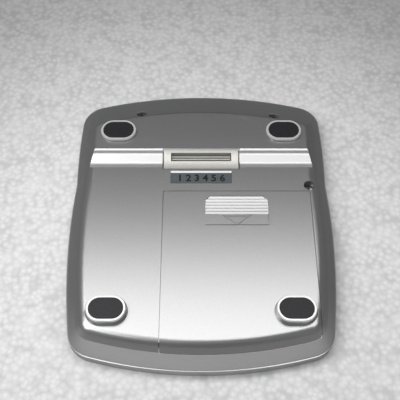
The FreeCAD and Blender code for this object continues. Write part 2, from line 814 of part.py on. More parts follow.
def make_top_housing():
    """Upper shell: bowed rim, board and panel recesses, window, key openings, posts and buzzer slits."""
    body = new_body("top_housing")
    outer = new_sketch(body, "Outer", PARTING)
    outline(outer, size(0), size(0), size(0))
    pad(body, outer, S.top_height)
    round_edges(body, TOP, S.top_edge_round)
    hollow = new_sketch(body, "Hollow", PARTING)
    outline(hollow, S.wall * 2, S.wall, S.wall * 2)
    pocket(body, hollow, PLATE - PARTING)
    board = new_sketch(body, "BoardRecess", TOP)
    half = BOARD_SIDE / 2
    rectangle(board, -half, half, BOARD_NEAR, BOARD_NEAR + BOARD_SIDE)
    pocket(body, board, S.board_recess, down=True)
    panel = new_sketch(body, "PanelRecess", TOP)
    rectangle(panel, -S.panel_half, S.panel_half, PANEL_NEAR, PANEL_FAR)
    pocket(body, panel, S.board_recess, down=True)
    ledge = new_sketch(body, "WindowSeat", PANEL)
    rectangle(ledge, -S.window_half, S.window_half, S.window_near, S.window_far)
    pocket(body, ledge, S.window_thick, down=True)
    opening = new_sketch(body, "WindowOpening", PANEL)
    inset = S.window_ledge
    half = S.window_half - inset
    rectangle(opening, -half, half, S.window_near + inset, S.window_far - inset)
    pocket(body, opening, S.plate, down=True)
    keys = new_sketch(body, "KeyOpenings", PANEL)
    for x, y, long, wide in KEYS.values():
        reach = long / 2 + S.key_gap
        depth = wide / 2 + S.key_gap
        rectangle(keys, x - reach, x + reach, y - depth, y + depth)
    pocket(body, keys, S.plate, down=True)
    slits = new_sketch(body, "BuzzerSlits", PANEL)
    for number in range(SIZES["slit_count"]):
        y = S.buzzer_y + S.slit_pitch * (number - (SIZES["slit_count"] - 1) / 2)
        stadium(slits, S.buzzer_x, y, S.slit_long, S.slit_wide)
    pocket(body, slits, S.plate, down=True)
    for name, (x, y) in SCREW_AT.items():
        post = new_sketch(body, "Post", PARTING)
        circle(post, x, y, S.post_radius)
        pad(body, post, PLATE - PARTING)
        hole = new_sketch(body, "PostHole", PARTING)
        circle(hole, x, y, S.screw_radius + S.screw_fit)
        pocket(body, hole, S.screw_bite + S.joint_gap)
    for x, y in PCB_POSTS:
        post = new_sketch(body, "BoardPost", PCB_TOP)
        circle(post, x, y, S.pcb_post_radius)
        pad(body, post, PLATE - PCB_TOP)
        hole = new_sketch(body, "BoardPostHole", PCB_TOP)
        circle(hole, x, y, S.pcb_screw_radius + S.screw_fit)
        pocket(body, hole, S.screw_bite)
    return body


def make_feet():
    """Four rubber pads in their recesses; one rides on the cover."""
    places = {"cover_foot_pad": (-FOOT_X, S.near_foot_y), "foot_pad_near_right": (FOOT_X, S.near_foot_y),
              "foot_pad_far_left": (-FOOT_X, S.far_foot_y), "foot_pad_far_right": (FOOT_X, S.far_foot_y)}
    for label, (x, y) in places.items():
        body = new_body(label)
        sketch = new_sketch(body, "Pad", 0)
        stadium(sketch, x, y, S.foot_long, S.foot_wide)
        pad(body, sketch, S.foot_seat + S.foot_sink)
        round_edges(body, 0, S.foot_seat / 2)


def make_socket():
    """Ivory insert with its slanted face, flange and slot, and the two contact strips."""
    body = new_body("socket_insert")
    face = new_sketch(body, "InsertFace", -S.insert_half, "YZ_Plane")
    top = S.insert_top + S.insert_flange
    polygon(face, [(INSERT_NEAR, BASE), (INSERT_FAR, BAR), (INSERT_FAR, top), (INSERT_NEAR, top)])
    pad(body, face, S.insert_half * 2)
    flange = new_sketch(body, "InsertFlange", DECK_TOP)
    edge = S.insert_flange
    rectangle(flange, -S.insert_half - edge, S.insert_half + edge, INSERT_NEAR - edge, INSERT_FAR + edge)
    pad(body, flange, edge)
    slot = new_sketch(body, "InsertSlot", BAR)
    rectangle(slot, -S.slot_half, S.slot_half, SLOT_NEAR, SLOT_FAR)
    pocket(body, slot, S.slot_deep + S.bar_rise)
    third = (SLOT_FAR - SLOT_NEAR) / 3
    floor = BAR + S.slot_deep + S.bar_rise
    strips = []
    for number in (1, 2):
        y = SLOT_NEAR + third * number
        half = S.slot_half - S.strip_thick
        thin = S.strip_thick / 2
        strips.append(box("ContactStrip%d" % number, -half, half, y - thin, y + thin, BASE, floor))
    group("socket_contacts", strips)
    fit = S.foot_fit
    high = BASE + S.label_deep
    keep(box("LabelStrip", fit - S.label_half, S.label_half - fit, LABEL_NEAR + fit, LABEL_FAR - fit,
             high - S.label_thick, high), "serial_label")


def screw(name, x, y, seat, bite, radius, head, tall):
    """A screw put in from below: head under its seat, shank above it."""
    return fuse(name, [upright(name + "Head", x, y, size(seat) - tall, seat, head),
                       upright(name + "Shank", x, y, size(seat) - tall / 2, bite, radius)])


def make_screws():
    """Housing screws and the small screws of the circuit board."""
    group("housing_screws", [screw("HousingScrew_" + name, x, y, S.seat_level, PARTING + S.screw_bite,
                                   S.screw_radius, S.screw_head, S.head_tall)
                             for name, (x, y) in SCREW_AT.items()])
    bite = PCB_TOP + S.screw_bite - S.joint_gap
    group("board_screws", [screw("BoardScrew%d" % number, x, y, S.board_level, bite,
                                 S.pcb_screw_radius, S.pcb_screw_head, S.head_tall / 2)
                           for number, (x, y) in enumerate(PCB_POSTS)])


def make_board():
    """Pressure sheet, board plate and the dark squares laid on it."""
    fit = S.foot_fit
    half = BOARD_SIDE / 2 - fit
    near = BOARD_NEAR + fit
    low = PANEL
    far = near + half * 2
    keep(box("MembraneSheet", -half, half, near, far, low, low + S.membrane_thick), "sensor_membrane")
    low = low + S.membrane_thick
    keep(box("BoardSheet", -half, half, near, far, low, low + S.board_thick), "board_plate")
    low = low + S.board_thick
    tiles = []
    for column in range(8):
        for row in range(column % 2, 8, 2):
            left = SQUARE * (column - 4) + S.tile_gap / 2
            start = BOARD_NEAR + S.board_rim + SQUARE * row + S.tile_gap / 2
            side = SQUARE - S.tile_gap
            tiles.append(box("Tile_%s%d" % (FILES[column], row + 1), left, left + side, start, start + side,
                             low, low + S.tile_thick))
    group("dark_squares", tiles)


def make_display():
    """Window, liquid crystal panel, its frame and the strip that joins it to the circuit board."""
    fit = S.window_fit
    half = S.window_half - fit
    keep(box("WindowPane", -half, half, S.window_near + fit, S.window_far - fit,
             PANEL - S.window_thick, PANEL), "display_window")
    near = S.window_near - S.lcd_rim
    far = S.window_far + S.lcd_rim
    high = PLATE - fit
    keep(box("CrystalPanel", -S.lcd_half, S.lcd_half, near, far, high - S.lcd_thick, high), "lcd_panel")
    wall = S.frame_wall
    half = S.lcd_half + fit
    outer = box("FrameOuter", -half - wall, half + wall, near - fit - wall, far + fit + wall, PCB_TOP, high)
    inner = box("FrameInner", -half, half, near - fit, far + fit, PCB_TOP, high)
    keep(cut("FrameRing", outer, inner), "lcd_frame")
    keep(box("ZebraStrip", -S.lcd_half + wall, S.lcd_half - wall, near + wall, near + wall * 2,
             PCB_TOP, high - S.lcd_thick), "display_connector")


def make_circuit_board():
    """Circuit board with clearance for posts, the processor under it and the buzzer under the slits."""
    body = new_body("main_circuit_board")
    plate = new_sketch(body, "BoardOutline", S.board_level)
    shoulder = S.wide_key_y + S.wide_key_wide / 2 + S.key_flange * 2
    polygon(plate, [(-PCB_HALF, S.pcb_near), (PCB_HALF, S.pcb_near), (PCB_HALF, shoulder),
                    (S.pcb_neck, shoulder), (S.pcb_neck, S.pcb_far), (-S.pcb_neck, S.pcb_far),
                    (-S.pcb_neck, shoulder), (-PCB_HALF, shoulder)])
    pad(body, plate, S.pcb_thick)
    holes = new_sketch(body, "BoardHoles", S.board_level)
    for x, y in PCB_POSTS:
        circle(holes, x, y, S.pcb_screw_radius + S.screw_fit)
    for name in ("far_right", "far_left"):
        circle(holes, *SCREW_AT[name], S.boss_radius + S.pcb_fit)
    pocket(body, holes, S.pcb_thick)
    chip_y = (S.pcb_near + S.pcb_far) / 2
    keep(box("ChipBlock", -S.chip_half, S.chip_half, chip_y - S.chip_half, chip_y + S.chip_half,
             S.board_level - S.chip_thick, S.board_level), "processor_chip")
    keep(upright("BuzzerDisc", S.buzzer_x, S.buzzer_y, PLATE - S.buzzer_thick, PLATE, S.buzzer_radius),
         "piezo_buzzer")


def make_keys():
    """Key caps with flange and stem, and the rubber mat with a collar round each stem."""
    for label, (x, y, long, wide) in KEYS.items():
        body = new_body(label)
        flange = new_sketch(body, "Flange", KEY_FLANGE)
        edge = S.key_flange
        rectangle(flange, x - long / 2 - edge, x + long / 2 + edge, y - wide / 2 - edge, y + wide / 2 + edge)
        pad(body, flange, S.flange_thick)
        cap = new_sketch(body, "Cap", KEY_FLANGE + S.flange_thick)
        rectangle(cap, x - long / 2, x + long / 2, y - wide / 2, y + wide / 2)
        height = PANEL + S.key_proud - KEY_FLANGE - S.flange_thick
        pad(body, cap, height)
        round_edges(body, PANEL + S.key_proud, S.key_edge)
        stem = new_sketch(body, "Stem", KEY_FLANGE)
        circle(stem, x, y, S.stem_radius)
        pad(body, stem, KEY_FLANGE - MAT_TOP - S.key_travel - S.key_stop, down=True)
    mat = new_body("key_mat")
    wing = MAT_WING
    inner = WIDE_KEY_X - S.wide_key_long / 2 - S.key_flange
    near = S.file_key_y - S.file_key_wide / 2 - S.key_flange
    middle = S.file_key_y + S.file_key_wide / 2 + S.key_flange
    far = S.wide_key_y + S.wide_key_wide / 2 + S.key_flange
    sheet_sketch = new_sketch(mat, "MatOutline", PCB_TOP)
    polygon(sheet_sketch, [(-wing, near), (wing, near), (wing, far), (inner, far), (inner, middle),
                           (-inner, middle), (-inner, far), (-wing, far)])
    pad(mat, sheet_sketch, S.mat_thick)
    collars = new_sketch(mat, "Collars", MAT_TOP)
    bore = S.stem_radius + S.joint_gap
    for x, y, long, wide in KEYS.values():
        circle(collars, x, y, bore + S.collar_wall)
        circle(collars, x, y, bore)
    pad(mat, collars, S.collar_tall)


def make_batteries():
    """Four cells lying head to tail and their contact plates at both ends of the well."""
    cells = []
    plates = []
    for number in range(SIZES["cell_count"]):
        x = COVER_MIDDLE + S.cell_pitch * (number - (SIZES["cell_count"] - 1) / 2)
        can = lying("Can%d" % number, x, CELL_Z, CELL_NEAR, CELL_FAR, S.cell_radius)
        nub = lying("Nub%d" % number, x, CELL_Z, CELL_FAR - S.nub_long, CELL_FAR + S.nub_long, S.nub_radius)
        cells.append(fuse("Cell%d" % number, [can, nub]))
        half = S.cell_radius * 0.7
        for end, low, high in (("Near", WELL_NEAR, CELL_NEAR), ("Far", CELL_FAR + S.nub_long, WELL_FAR)):
            wall_side = low if end == "Near" else high - S.contact_thick
            plate = box("Plate%s%d" % (end, number), x - half, x + half,
                        wall_side, wall_side + S.contact_thick, CELL_Z - half, CELL_Z + half)
            bump = lying("Bump%s%d" % (end, number), x, CELL_Z, low + S.foot_fit, high - S.foot_fit,
                         S.nub_radius)
            plates.append(fuse("Contact%s%d" % (end, number), [plate, bump]))
    group("battery_cells", cells)
    group("battery_contacts", plates)


make_bottom_housing()
make_cover()
make_top_housing()
make_feet()
make_socket()
make_screws()
make_board()
make_display()
make_circuit_board()
make_keys()
make_batteries()
doc.recompute()

for item in doc.Objects:
    if "Invalid" in item.State or "Error" in item.State:
        raise RuntimeError("%s failed: %s" % (item.Label, item.State))
os.makedirs("parts", exist_ok=True)
for node in nodes:
    if node.Shape.isNull() or not node.Shape.isValid():
        raise RuntimeError("%s has no sound shape" % node.Label)
    node.Shape.exportStep("parts/%s.step" % node.Label)
    print(node.Label, len(node.Shape.Solids), round(node.Shape.Volume))
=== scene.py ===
# %% [markdown]
# # A portable chess computer, seen from below
# The solids of the case, cover, feet, board, display and keys come from CAD and are never moved.
# This lesson dresses them: it gives every solid its finish, adds the small marks that a moulded
# case carries, and lights it as in the photograph, where the case lies on its face.

# %% Load the solids
import json
import math

import bpy
import numpy as np
from mathutils import Matrix, Vector


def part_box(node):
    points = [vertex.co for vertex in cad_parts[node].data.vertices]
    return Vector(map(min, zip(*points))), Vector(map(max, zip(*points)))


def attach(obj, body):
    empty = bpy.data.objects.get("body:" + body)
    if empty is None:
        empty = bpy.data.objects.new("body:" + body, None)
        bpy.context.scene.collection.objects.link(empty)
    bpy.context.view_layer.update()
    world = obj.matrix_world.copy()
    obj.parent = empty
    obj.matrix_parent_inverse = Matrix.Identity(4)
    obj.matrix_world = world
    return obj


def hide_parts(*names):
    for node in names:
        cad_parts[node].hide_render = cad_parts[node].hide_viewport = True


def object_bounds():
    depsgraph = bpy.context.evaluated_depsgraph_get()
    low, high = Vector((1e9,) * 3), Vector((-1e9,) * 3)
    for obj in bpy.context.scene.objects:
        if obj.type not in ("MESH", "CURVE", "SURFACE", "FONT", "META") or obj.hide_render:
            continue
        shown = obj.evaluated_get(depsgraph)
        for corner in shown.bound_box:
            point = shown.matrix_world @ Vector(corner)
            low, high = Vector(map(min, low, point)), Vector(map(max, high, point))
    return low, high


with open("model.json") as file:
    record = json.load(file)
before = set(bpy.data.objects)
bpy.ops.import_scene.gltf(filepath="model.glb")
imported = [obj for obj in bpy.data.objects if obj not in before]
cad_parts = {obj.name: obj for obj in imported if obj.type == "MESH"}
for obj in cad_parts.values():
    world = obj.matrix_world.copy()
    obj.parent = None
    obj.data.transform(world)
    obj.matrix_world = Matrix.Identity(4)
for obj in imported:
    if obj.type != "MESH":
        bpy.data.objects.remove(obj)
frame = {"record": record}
cad_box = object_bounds()
scene = bpy.context.scene
MM = 0.001
print("case box in metres", [list(corner) for corner in cad_box])

# %% [markdown]
# ## The camera
# The frame keeps the case on its feet, as a player uses it. The photograph shows the underside, so the
# camera stands below the case and looks up, with the far end at the top of the picture. The pitch and
# the focal length were worked out from the four feet, whose real spacing is known.

# %% Camera below the case
PITCH = math.radians(58.0)
FOCAL_PIXELS = 740.0
FRAME_PIXELS = 400.0
SENSOR = 36.0
CAMERA_PLACE = Vector((0.7, -227.3, -366.4)) * MM

camera_data = bpy.data.cameras.new("camera")
camera_data.sensor_width = SENSOR
camera_data.lens = FOCAL_PIXELS / FRAME_PIXELS * SENSOR
camera = bpy.data.objects.new("camera", camera_data)
right = Vector((-1.0, 0.0, 0.0))
up = Vector((0.0, math.sin(PITCH), -math.cos(PITCH)))
back = right.cross(up)
camera_turn = Matrix((right, up, back)).transposed()
camera.matrix_world = Matrix.Translation(CAMERA_PLACE) @ camera_turn.to_4x4()
scene.collection.objects.link(camera)
scene.camera = camera
scene.view_settings.view_transform = "Standard"
print("camera looks up at", round(math.degrees(PITCH)), "degrees")

# %% [markdown]
# ## Wiring shader nodes
# Every look in this lesson is a small graph of shader nodes. Most of its lines would only join one socket
# to the next, so a few helpers do that. Each takes constants or outputs of other nodes, and gives back
# the output that the next node needs. A constant always goes straight onto the socket.

# %% Node helpers
def node_of(tree, kind, **settings):
    """Add a shader node and set its properties by name."""
    node = tree.nodes.new(kind)
    for name, value in settings.items():
        setattr(node, name, value)
    return node


def feed(tree, socket, source):
    """Give a socket a constant, or link it to another node's output."""
    if isinstance(source, bpy.types.NodeSocket):
        tree.links.new(source, socket)
    else:
        socket.default_value = source


def reckon(tree, operation, *sources):
    """Output of a maths node that works on two or three sources."""
    node = node_of(tree, "ShaderNodeMath", operation=operation)
    for socket, source in zip(node.inputs, sources):
        feed(tree, socket, source)
    return node.outputs["Value"]


def reckon_vector(tree, operation, *sources):
    """The maths node for vectors that works on one or two sources."""
    node = node_of(tree, "ShaderNodeVectorMath", operation=operation)
    for socket, source in zip(node.inputs, sources):
        feed(tree, socket, source)
    return node


def ranged(tree, value, span, result, eased_step=True):
    """Maps a span of values onto a span of results, by an eased step or along a straight line."""
    kind = "SMOOTHSTEP" if eased_step else "LINEAR"
    node = node_of(tree, "ShaderNodeMapRange", interpolation_type=kind)
    feed(tree, node.inputs["From Min"], span[0])
    feed(tree, node.inputs["From Max"], span[1])
    feed(tree, node.inputs["To Min"], result[0])
    feed(tree, node.inputs["To Max"], result[1])
    feed(tree, node.inputs["Value"], value)
    return node.outputs["Result"]


print("node helpers ready")

# %% [markdown]
# ## Mixing shaders and colours
# Colours come from ramps over a value, and two colours or two shaders are mixed by a share. The colour
# mix has several sets of sockets under the same names, so those for colours are taken by their number.

# %% Mixing helpers
COLOUR_FIRST = 6
COLOUR_SECOND = 7
COLOUR_RESULT = 2


def mixed(tree, share, first, second):
    """Shader mix: the first shader at a share of 0, the second at 1."""
    node = node_of(tree, "ShaderNodeMixShader")
    feed(tree, node.inputs["Fac"], share)
    feed(tree, node.inputs[1], first)
    feed(tree, node.inputs[2], second)
    return node.outputs["Shader"]


def blended(tree, share, first, second, kind="MIX"):
    """Colour mix of the given kind, by a share."""
    node = node_of(tree, "ShaderNodeMix", data_type="RGBA", blend_type=kind)
    feed(tree, node.inputs["Factor"], share)
    feed(tree, node.inputs[COLOUR_FIRST], first)
    feed(tree, node.inputs[COLOUR_SECOND], second)
    return node.outputs[COLOUR_RESULT]


def toned(tree, value, stops, hard=False):
    """Colour ramp over a value: each stop has a place from 0 to 1 and a colour; hard stops don't blend."""
    node = node_of(tree, "ShaderNodeValToRGB")
    if hard:
        node.color_ramp.interpolation = "CONSTANT"
    elements = node.color_ramp.elements
    for _ in range(len(stops) - len(elements)):
        elements.new(0.5)
    for element, (at, colour) in zip(elements, stops):
        element.position = at
        element.color = (*colour, 1.0)
    feed(tree, node.inputs["Fac"], value)
    return node.outputs["Color"]


def new_material(name):
    """A material with its node tree and its Principled shader."""
    material = bpy.data.materials.new(name)
    material.use_nodes = True
    return material, material.node_tree, material.node_tree.nodes["Principled BSDF"]


print("mixing helpers ready")

# %% [markdown]
# ## The pale sheet
# The case lies on a sheet of pressed foam beads. Cells of a Voronoi pattern stand for the beads, and a
# broader noise makes lighter and darker patches of them.

# %% Colour of the sheet
BEAD_SCALE = 300.0
PATCH_SCALE = 70.0
PATCH_DETAIL = 6.0
SHEET_STOPS = ((0.05, (0.95, 0.95, 0.94)), (0.48, (0.70, 0.70, 0.70)))
SHEET_ROUGH = 0.9
# Painted shade: the dark tone that mirrored rays meet on a sheet, in place of a sheet in shade.
PAINTED_SHADE_SHEET = (0.03, 0.03, 0.032, 1.0)


def bead_tint(tree, place):
    """The distance to the nearest bead, times a broad noise, read as a colour between two pale tones."""
    beads = node_of(tree, "ShaderNodeTexVoronoi")
    feed(tree, beads.inputs["Scale"], BEAD_SCALE)
    feed(tree, beads.inputs["Vector"], place)
    patches = node_of(tree, "ShaderNodeTexNoise")
    feed(tree, patches.inputs["Scale"], PATCH_SCALE)
    feed(tree, patches.inputs["Detail"], PATCH_DETAIL)
    feed(tree, patches.inputs["Vector"], place)
    joined = reckon(tree, "MULTIPLY", beads.outputs["Distance"], patches.outputs["Fac"])
    return toned(tree, joined, SHEET_STOPS)


def with_painted_shade(tree, share, surface):
    """A surface that gives way by a share to a dark sheet, which is painted shade."""
    dark = node_of(tree, "ShaderNodeBsdfDiffuse")
    feed(tree, dark.inputs["Color"], PAINTED_SHADE_SHEET)
    return mixed(tree, share, surface.outputs["BSDF"], dark.outputs["BSDF"])


print("sheet tones", len(SHEET_STOPS))

# %% [markdown]
# ## The upper sheet
# The photographed sheet touches the top face of the case. A sheet there would hide the playing board
# from every view above, so there are two floors, and each shows only its front: the upper one to a viewer
# below the case, the lower one to a viewer above it. In the photograph the upper sheet grows darker with
# the distance; that is painted shade, a dark tone mixed into its colour away from a point near the case.
# The painted walls mirror little of it on the far side, as mirrored rays meet a painted dark sheet there.

# %% Front of the upper sheet
# Painted shade on the upper sheet: its colour darkens away from a centre, and mirrored rays meet more dark
# sheet along y.
PAINTED_SHADE_CENTRE = (0.0, -0.1, 0.0)
PAINTED_SHADE_REACH = (0.12, 0.36)
PAINTED_SHADE_DEPTH = 0.58
PAINTED_SHADE_TONE = (0.02, 0.02, 0.022, 1.0)
MIRROR_SHADE_SPAN = (-0.14, -0.04)
MIRROR_SHADE_SHARE = (0.10, 0.82)


def upper_front(tree, place, tint, surface, ray):
    """Painted shade: tint darkened with the distance from a point, and for mirrored rays a dark share
    growing with y.

    Gives the shader and the window in it, which is None here.
    """
    offset = reckon_vector(tree, "SUBTRACT", place, PAINTED_SHADE_CENTRE).outputs["Vector"]
    reach = reckon_vector(tree, "LENGTH", offset).outputs["Value"]
    # Painted shade: the tint darkens with the distance from the centre.
    painted_shade = ranged(tree, reach, PAINTED_SHADE_REACH, (0.0, PAINTED_SHADE_DEPTH))
    feed(tree, surface.inputs["Base Color"], blended(tree, painted_shade, tint, PAINTED_SHADE_TONE))
    parts = node_of(tree, "ShaderNodeSeparateXYZ")
    feed(tree, parts.inputs["Vector"], place)
    # Painted shade in reflections: mirrored rays meet more dark sheet further along y.
    mirror_shade = ranged(tree, parts.outputs["Y"], MIRROR_SHADE_SPAN, MIRROR_SHADE_SHARE)
    return with_painted_shade(tree, reckon(tree, "MULTIPLY", ray.outputs["Is Glossy Ray"], mirror_shade), surface), None


print("upper sheet fades by", PAINTED_SHADE_DEPTH)

# %% [markdown]
# ## The lower sheet
# The lower sheet must not stand between the flat base and the lamps below it, so mirrored rays pass
# through a window under the base. Outside that window they meet the sheet in a painted dark tone, painted
# shade like that of a sheet in the shade of a case, and the bevels don't mirror the lamps.

# %% Front of the lower sheet
WINDOW_CENTRE = (0.0, -0.0205, 0.0)
WINDOW_HALF = (0.0705, 0.0675, 1.0)
WINDOW_EDGE = (0.98, 1.02)
# Painted shade: the share of dark sheet that mirrored rays meet outside the window.
LOWER_MIRROR_SHADE = 0.80


def lower_front(tree, place, tint, surface, ray):
    """Plain tint, with a share of painted shade, a dark sheet, for mirrored rays; these pass where the
    larger of x and y, each as a share of the window's half size, is under 1. Gives the shader and the window
    in it."""
    feed(tree, surface.inputs["Base Color"], tint)
    offset = reckon_vector(tree, "SUBTRACT", place, WINDOW_CENTRE).outputs["Vector"]
    spread = reckon_vector(tree, "ABSOLUTE", offset).outputs["Vector"]
    parts = node_of(tree, "ShaderNodeSeparateXYZ")
    feed(tree, parts.inputs["Vector"], reckon_vector(tree, "DIVIDE", spread, WINDOW_HALF).outputs["Vector"])
    larger = reckon(tree, "MAXIMUM", parts.outputs["X"], parts.outputs["Y"])
    window = ranged(tree, larger, WINDOW_EDGE, (1.0, 0.0))
    mirrored = ray.outputs["Is Glossy Ray"]
    # Painted shade for mirrored rays outside the window.
    front = with_painted_shade(tree, reckon(tree, "MULTIPLY", mirrored, LOWER_MIRROR_SHADE), surface)
    return front, reckon(tree, "MULTIPLY", mirrored, window)


print("lower sheet mirrored at", round(1.0 - LOWER_MIRROR_SHADE, 2))

# %% [markdown]
# ## One-sided sheets
# Backfacing tells the shader which side of a sheet a ray has met. From behind, the sheet is clear, so it
# hides nothing, and a transparent shader is all that this takes.

# %% Sheet materials
def sheet_material(name, front):
    """Sheet of beads that shows its front, and is clear from behind and where the front has a window."""
    material, tree, surface = new_material(name)
    feed(tree, surface.inputs["Roughness"], SHEET_ROUGH)
    place = node_of(tree, "ShaderNodeTexCoord").outputs["Object"]
    ray = node_of(tree, "ShaderNodeLightPath")
    shown, window = front(tree, place, bead_tint(tree, place), surface, ray)
    clear_share = node_of(tree, "ShaderNodeNewGeometry").outputs["Backfacing"]
    if window is not None:
        clear_share = reckon(tree, "MAXIMUM", clear_share, window)
    clear = node_of(tree, "ShaderNodeBsdfTransparent")
    result = mixed(tree, clear_share, shown, clear.outputs["BSDF"])
    feed(tree, tree.nodes["Material Output"].inputs["Surface"], result)
    return material


UPPER_SHEET = sheet_material("pale_sheet_above", upper_front)
LOWER_SHEET = sheet_material("pale_sheet_below", lower_front)
print("sheets", UPPER_SHEET.name, "and", LOWER_SHEET.name)

# %% [markdown]
# ## The outline of the case
# The upper sheet needs a hole where the case lies in it. Its edge follows the outline of the case, which
# is read from the loaded shell, so the hole still fits when the case has another size.

# %% Grid and outline helpers
LEAST_TURN = 0.05


def grid_faces(rows, columns, closed):
    """Quads of a grid of points, row by row; a closed grid joins its last row to its first."""
    last = rows if closed else rows - 1
    row, column = np.meshgrid(np.arange(last), np.arange(columns - 1), indexing="ij")
    after = (row + 1) % rows
    corners = [row * columns + column, row * columns + column + 1,
               after * columns + column + 1, after * columns + column]
    return np.stack([corner.ravel() for corner in corners], axis=1)


def case_edge(angles, inset):
    """Distance of the case's convex outline from the origin at each angle, drawn in by an inset.

    The outline's support in a direction is the largest projection of the shell's points on it; along an
    angle, the nearest of all support lines that face that way gives the distance.
    """
    shell = bpy.data.objects["top_housing"].data
    places = np.empty(len(shell.vertices) * 3)
    shell.vertices.foreach_get("co", places)
    plan = places.reshape(-1, 3)[:, :2]
    facing = np.column_stack([np.cos(angles), np.sin(angles)])
    support = (facing @ plan.T).max(axis=1)
    turn_between = np.cos(angles[:, None] - angles[None, :])
    away = support[None, :] / np.maximum(turn_between, LEAST_TURN)
    return np.where(turn_between > LEAST_TURN, away, np.inf).min(axis=1) - inset


print("grid of 2 by 3 points has", len(grid_faces(2, 3, False)), "quads")

# %% [markdown]
# ## Laying the floors
# The upper sheet lies a little below the top face, so the top face mirrors the room above it and not the
# sheet. Both floors are grids of two rings: the edge of the hole, which is a single point in the lower
# sheet, and the square border.

# %% The two floors
FLOOR_HALF = 1.6
RING_COUNT = 128
ANGLES = np.arange(RING_COUNT) * (2.0 * math.pi / RING_COUNT)
SHEET_GAP = 0.0004
SHEET_SUNK = 0.0008
EDGE_INSET = 0.004


def floor(name, level, facing, material, inner):
    """A square sheet at a height, with a hole in it: a grid of two rings, the hole's edge and the border.

    Facing is 1 for a front that looks up and -1 for down. The sheet takes the shadow of the case and
    throws none.
    """
    outer = FLOOR_HALF / np.maximum(np.abs(np.cos(ANGLES)), np.abs(np.sin(ANGLES)))
    rings = np.stack([inner, outer], axis=1)[::facing]
    turns = ANGLES[::facing]
    points = np.stack([rings * np.cos(turns)[:, None], rings * np.sin(turns)[:, None],
                       np.full(rings.shape, level)], axis=2).reshape(-1, 3)
    mesh = bpy.data.meshes.new(name)
    mesh.from_pydata(points.tolist(), [], grid_faces(RING_COUNT, 2, True).tolist())
    sheet = bpy.data.objects.new(name, mesh)
    sheet.data.materials.append(material)
    scene.collection.objects.link(sheet)
    sheet.visible_shadow = False
    sheet.visible_diffuse = False
    sheet.visible_transmission = False


upper_level = cad_box[1][2] - SHEET_SUNK
lower_level = cad_box[0][2] - SHEET_GAP
floor("sheet_above", upper_level, -1, UPPER_SHEET, case_edge(ANGLES, EDGE_INSET))
floor("sheet_below", lower_level, 1, LOWER_SHEET, np.zeros(RING_COUNT))
print("floors at", round(lower_level, 4), "and", round(upper_level, 4), "metres")

# %% [markdown]
# ## Lamps
# In the photograph a wide soft light stands over the underside, so the flat base mirrors it near the
# viewer and the ramp catches it as a bright band. A second lamp beside it throws the shadow on the sheet.
# The same kind of light stands over the board for the views from above.

# %% Soft lamps
LAMPS = {
    "light_under": {"place": (0.04, 0.125, -0.60), "target": (0.04, 0.125, 0.0),
                    "size": (0.8, 0.27), "power": 1.75},
    "light_side": {"place": (0.42, -0.10, -0.62), "target": (0.0, -0.05, 0.0),
                   "size": (0.4, 0.4), "power": 2.0},
    "light_over": {"place": (-0.10, 0.10, 1.0), "target": (-0.10, 0.10, 0.0),
                   "size": (1.6, 1.2), "power": 4.5},
}


def softbox(name, place, target, size, power):
    """A rectangular lamp at a place, turned to a target."""
    data = bpy.data.lights.new(name, "AREA")
    data.shape = "RECTANGLE"
    data.size, data.size_y = size
    data.energy = power
    lamp = bpy.data.objects.new(name, data)
    aim = (Vector(target) - Vector(place)).to_track_quat("-Z", "Y")
    lamp.matrix_world = Matrix.Translation(Vector(place)) @ aim.to_matrix().to_4x4()
    lamp.visible_camera = False
    scene.collection.objects.link(lamp)


for lamp_name, settings in LAMPS.items():
    softbox(lamp_name, **settings)
print("lamps", list(LAMPS))

# %% [markdown]
# ## The room
# A grey room surrounds the case. It is lighter behind the viewer and dark beyond the far end, which gives
# the bevels their tones, and it is stronger for diffuse rays, which fills the shadows. What the camera
# sees behind the floors is pale, and so is what metal and glass mirror from overhead; matt surfaces get
# a little less of that pale sky.

# %% World shader
ROOM_TONE = (0.50, 0.505, 0.51, 1.0)
ROOM_SPAN = (-1.0, 0.5)
ROOM_STRENGTH = (0.42, 0.05)
PALE_TONE = (0.86, 0.86, 0.86, 1.0)
SKY_SPAN = (0.02, 0.45)
SKY_SHARE = 0.8
SKY_MIRRORED = 0.2
DIFFUSE_FILL = 0.45

world = bpy.data.worlds.new("grey_room")
world.use_nodes = True
scene.world = world
sky = world.node_tree
room = sky.nodes["Background"]
pale = node_of(sky, "ShaderNodeBackground")
compass = node_of(sky, "ShaderNodeSeparateXYZ")
feed(sky, compass.inputs["Vector"], node_of(sky, "ShaderNodeTexCoord").outputs["Generated"])
met = node_of(sky, "ShaderNodeLightPath").outputs
feed(sky, room.inputs["Color"], ROOM_TONE)
feed(sky, pale.inputs["Color"], PALE_TONE)
shade = ranged(sky, compass.outputs["Y"], ROOM_SPAN, ROOM_STRENGTH, False)
feed(sky, room.inputs["Strength"], reckon(sky, "MULTIPLY_ADD", met["Is Diffuse Ray"], DIFFUSE_FILL, shade))
bright_ray = reckon(sky, "MAXIMUM", met["Is Glossy Ray"], met["Is Transmission Ray"])
sky_share = reckon(sky, "MULTIPLY_ADD", bright_ray, SKY_MIRRORED, SKY_SHARE)
overhead = reckon(sky, "MULTIPLY", ranged(sky, compass.outputs["Z"], SKY_SPAN, (0.0, 1.0)), sky_share)
pale_share = reckon(sky, "MAXIMUM", met["Is Camera Ray"], overhead)
either = mixed(sky, pale_share, room.outputs["Background"], pale.outputs["Background"])
feed(sky, sky.nodes["World Output"].inputs["Surface"], either)
print("room strength from", ROOM_STRENGTH[0], "to", ROOM_STRENGTH[1])

# %% [markdown]
# ## Finishes
# Every finish is a Principled shader whose colour, roughness and bump vary on Object coordinates, so it
# stays on the piece from every side. One helper builds the common part: a fine grain that shifts the
# colour between two tones, and a bump of the same grain.

# %% Grain helper
GRAIN_DETAIL = 4.0
GRAIN_SPAN = (0.3, 0.7)
BUMP_DEPTH = 0.0002


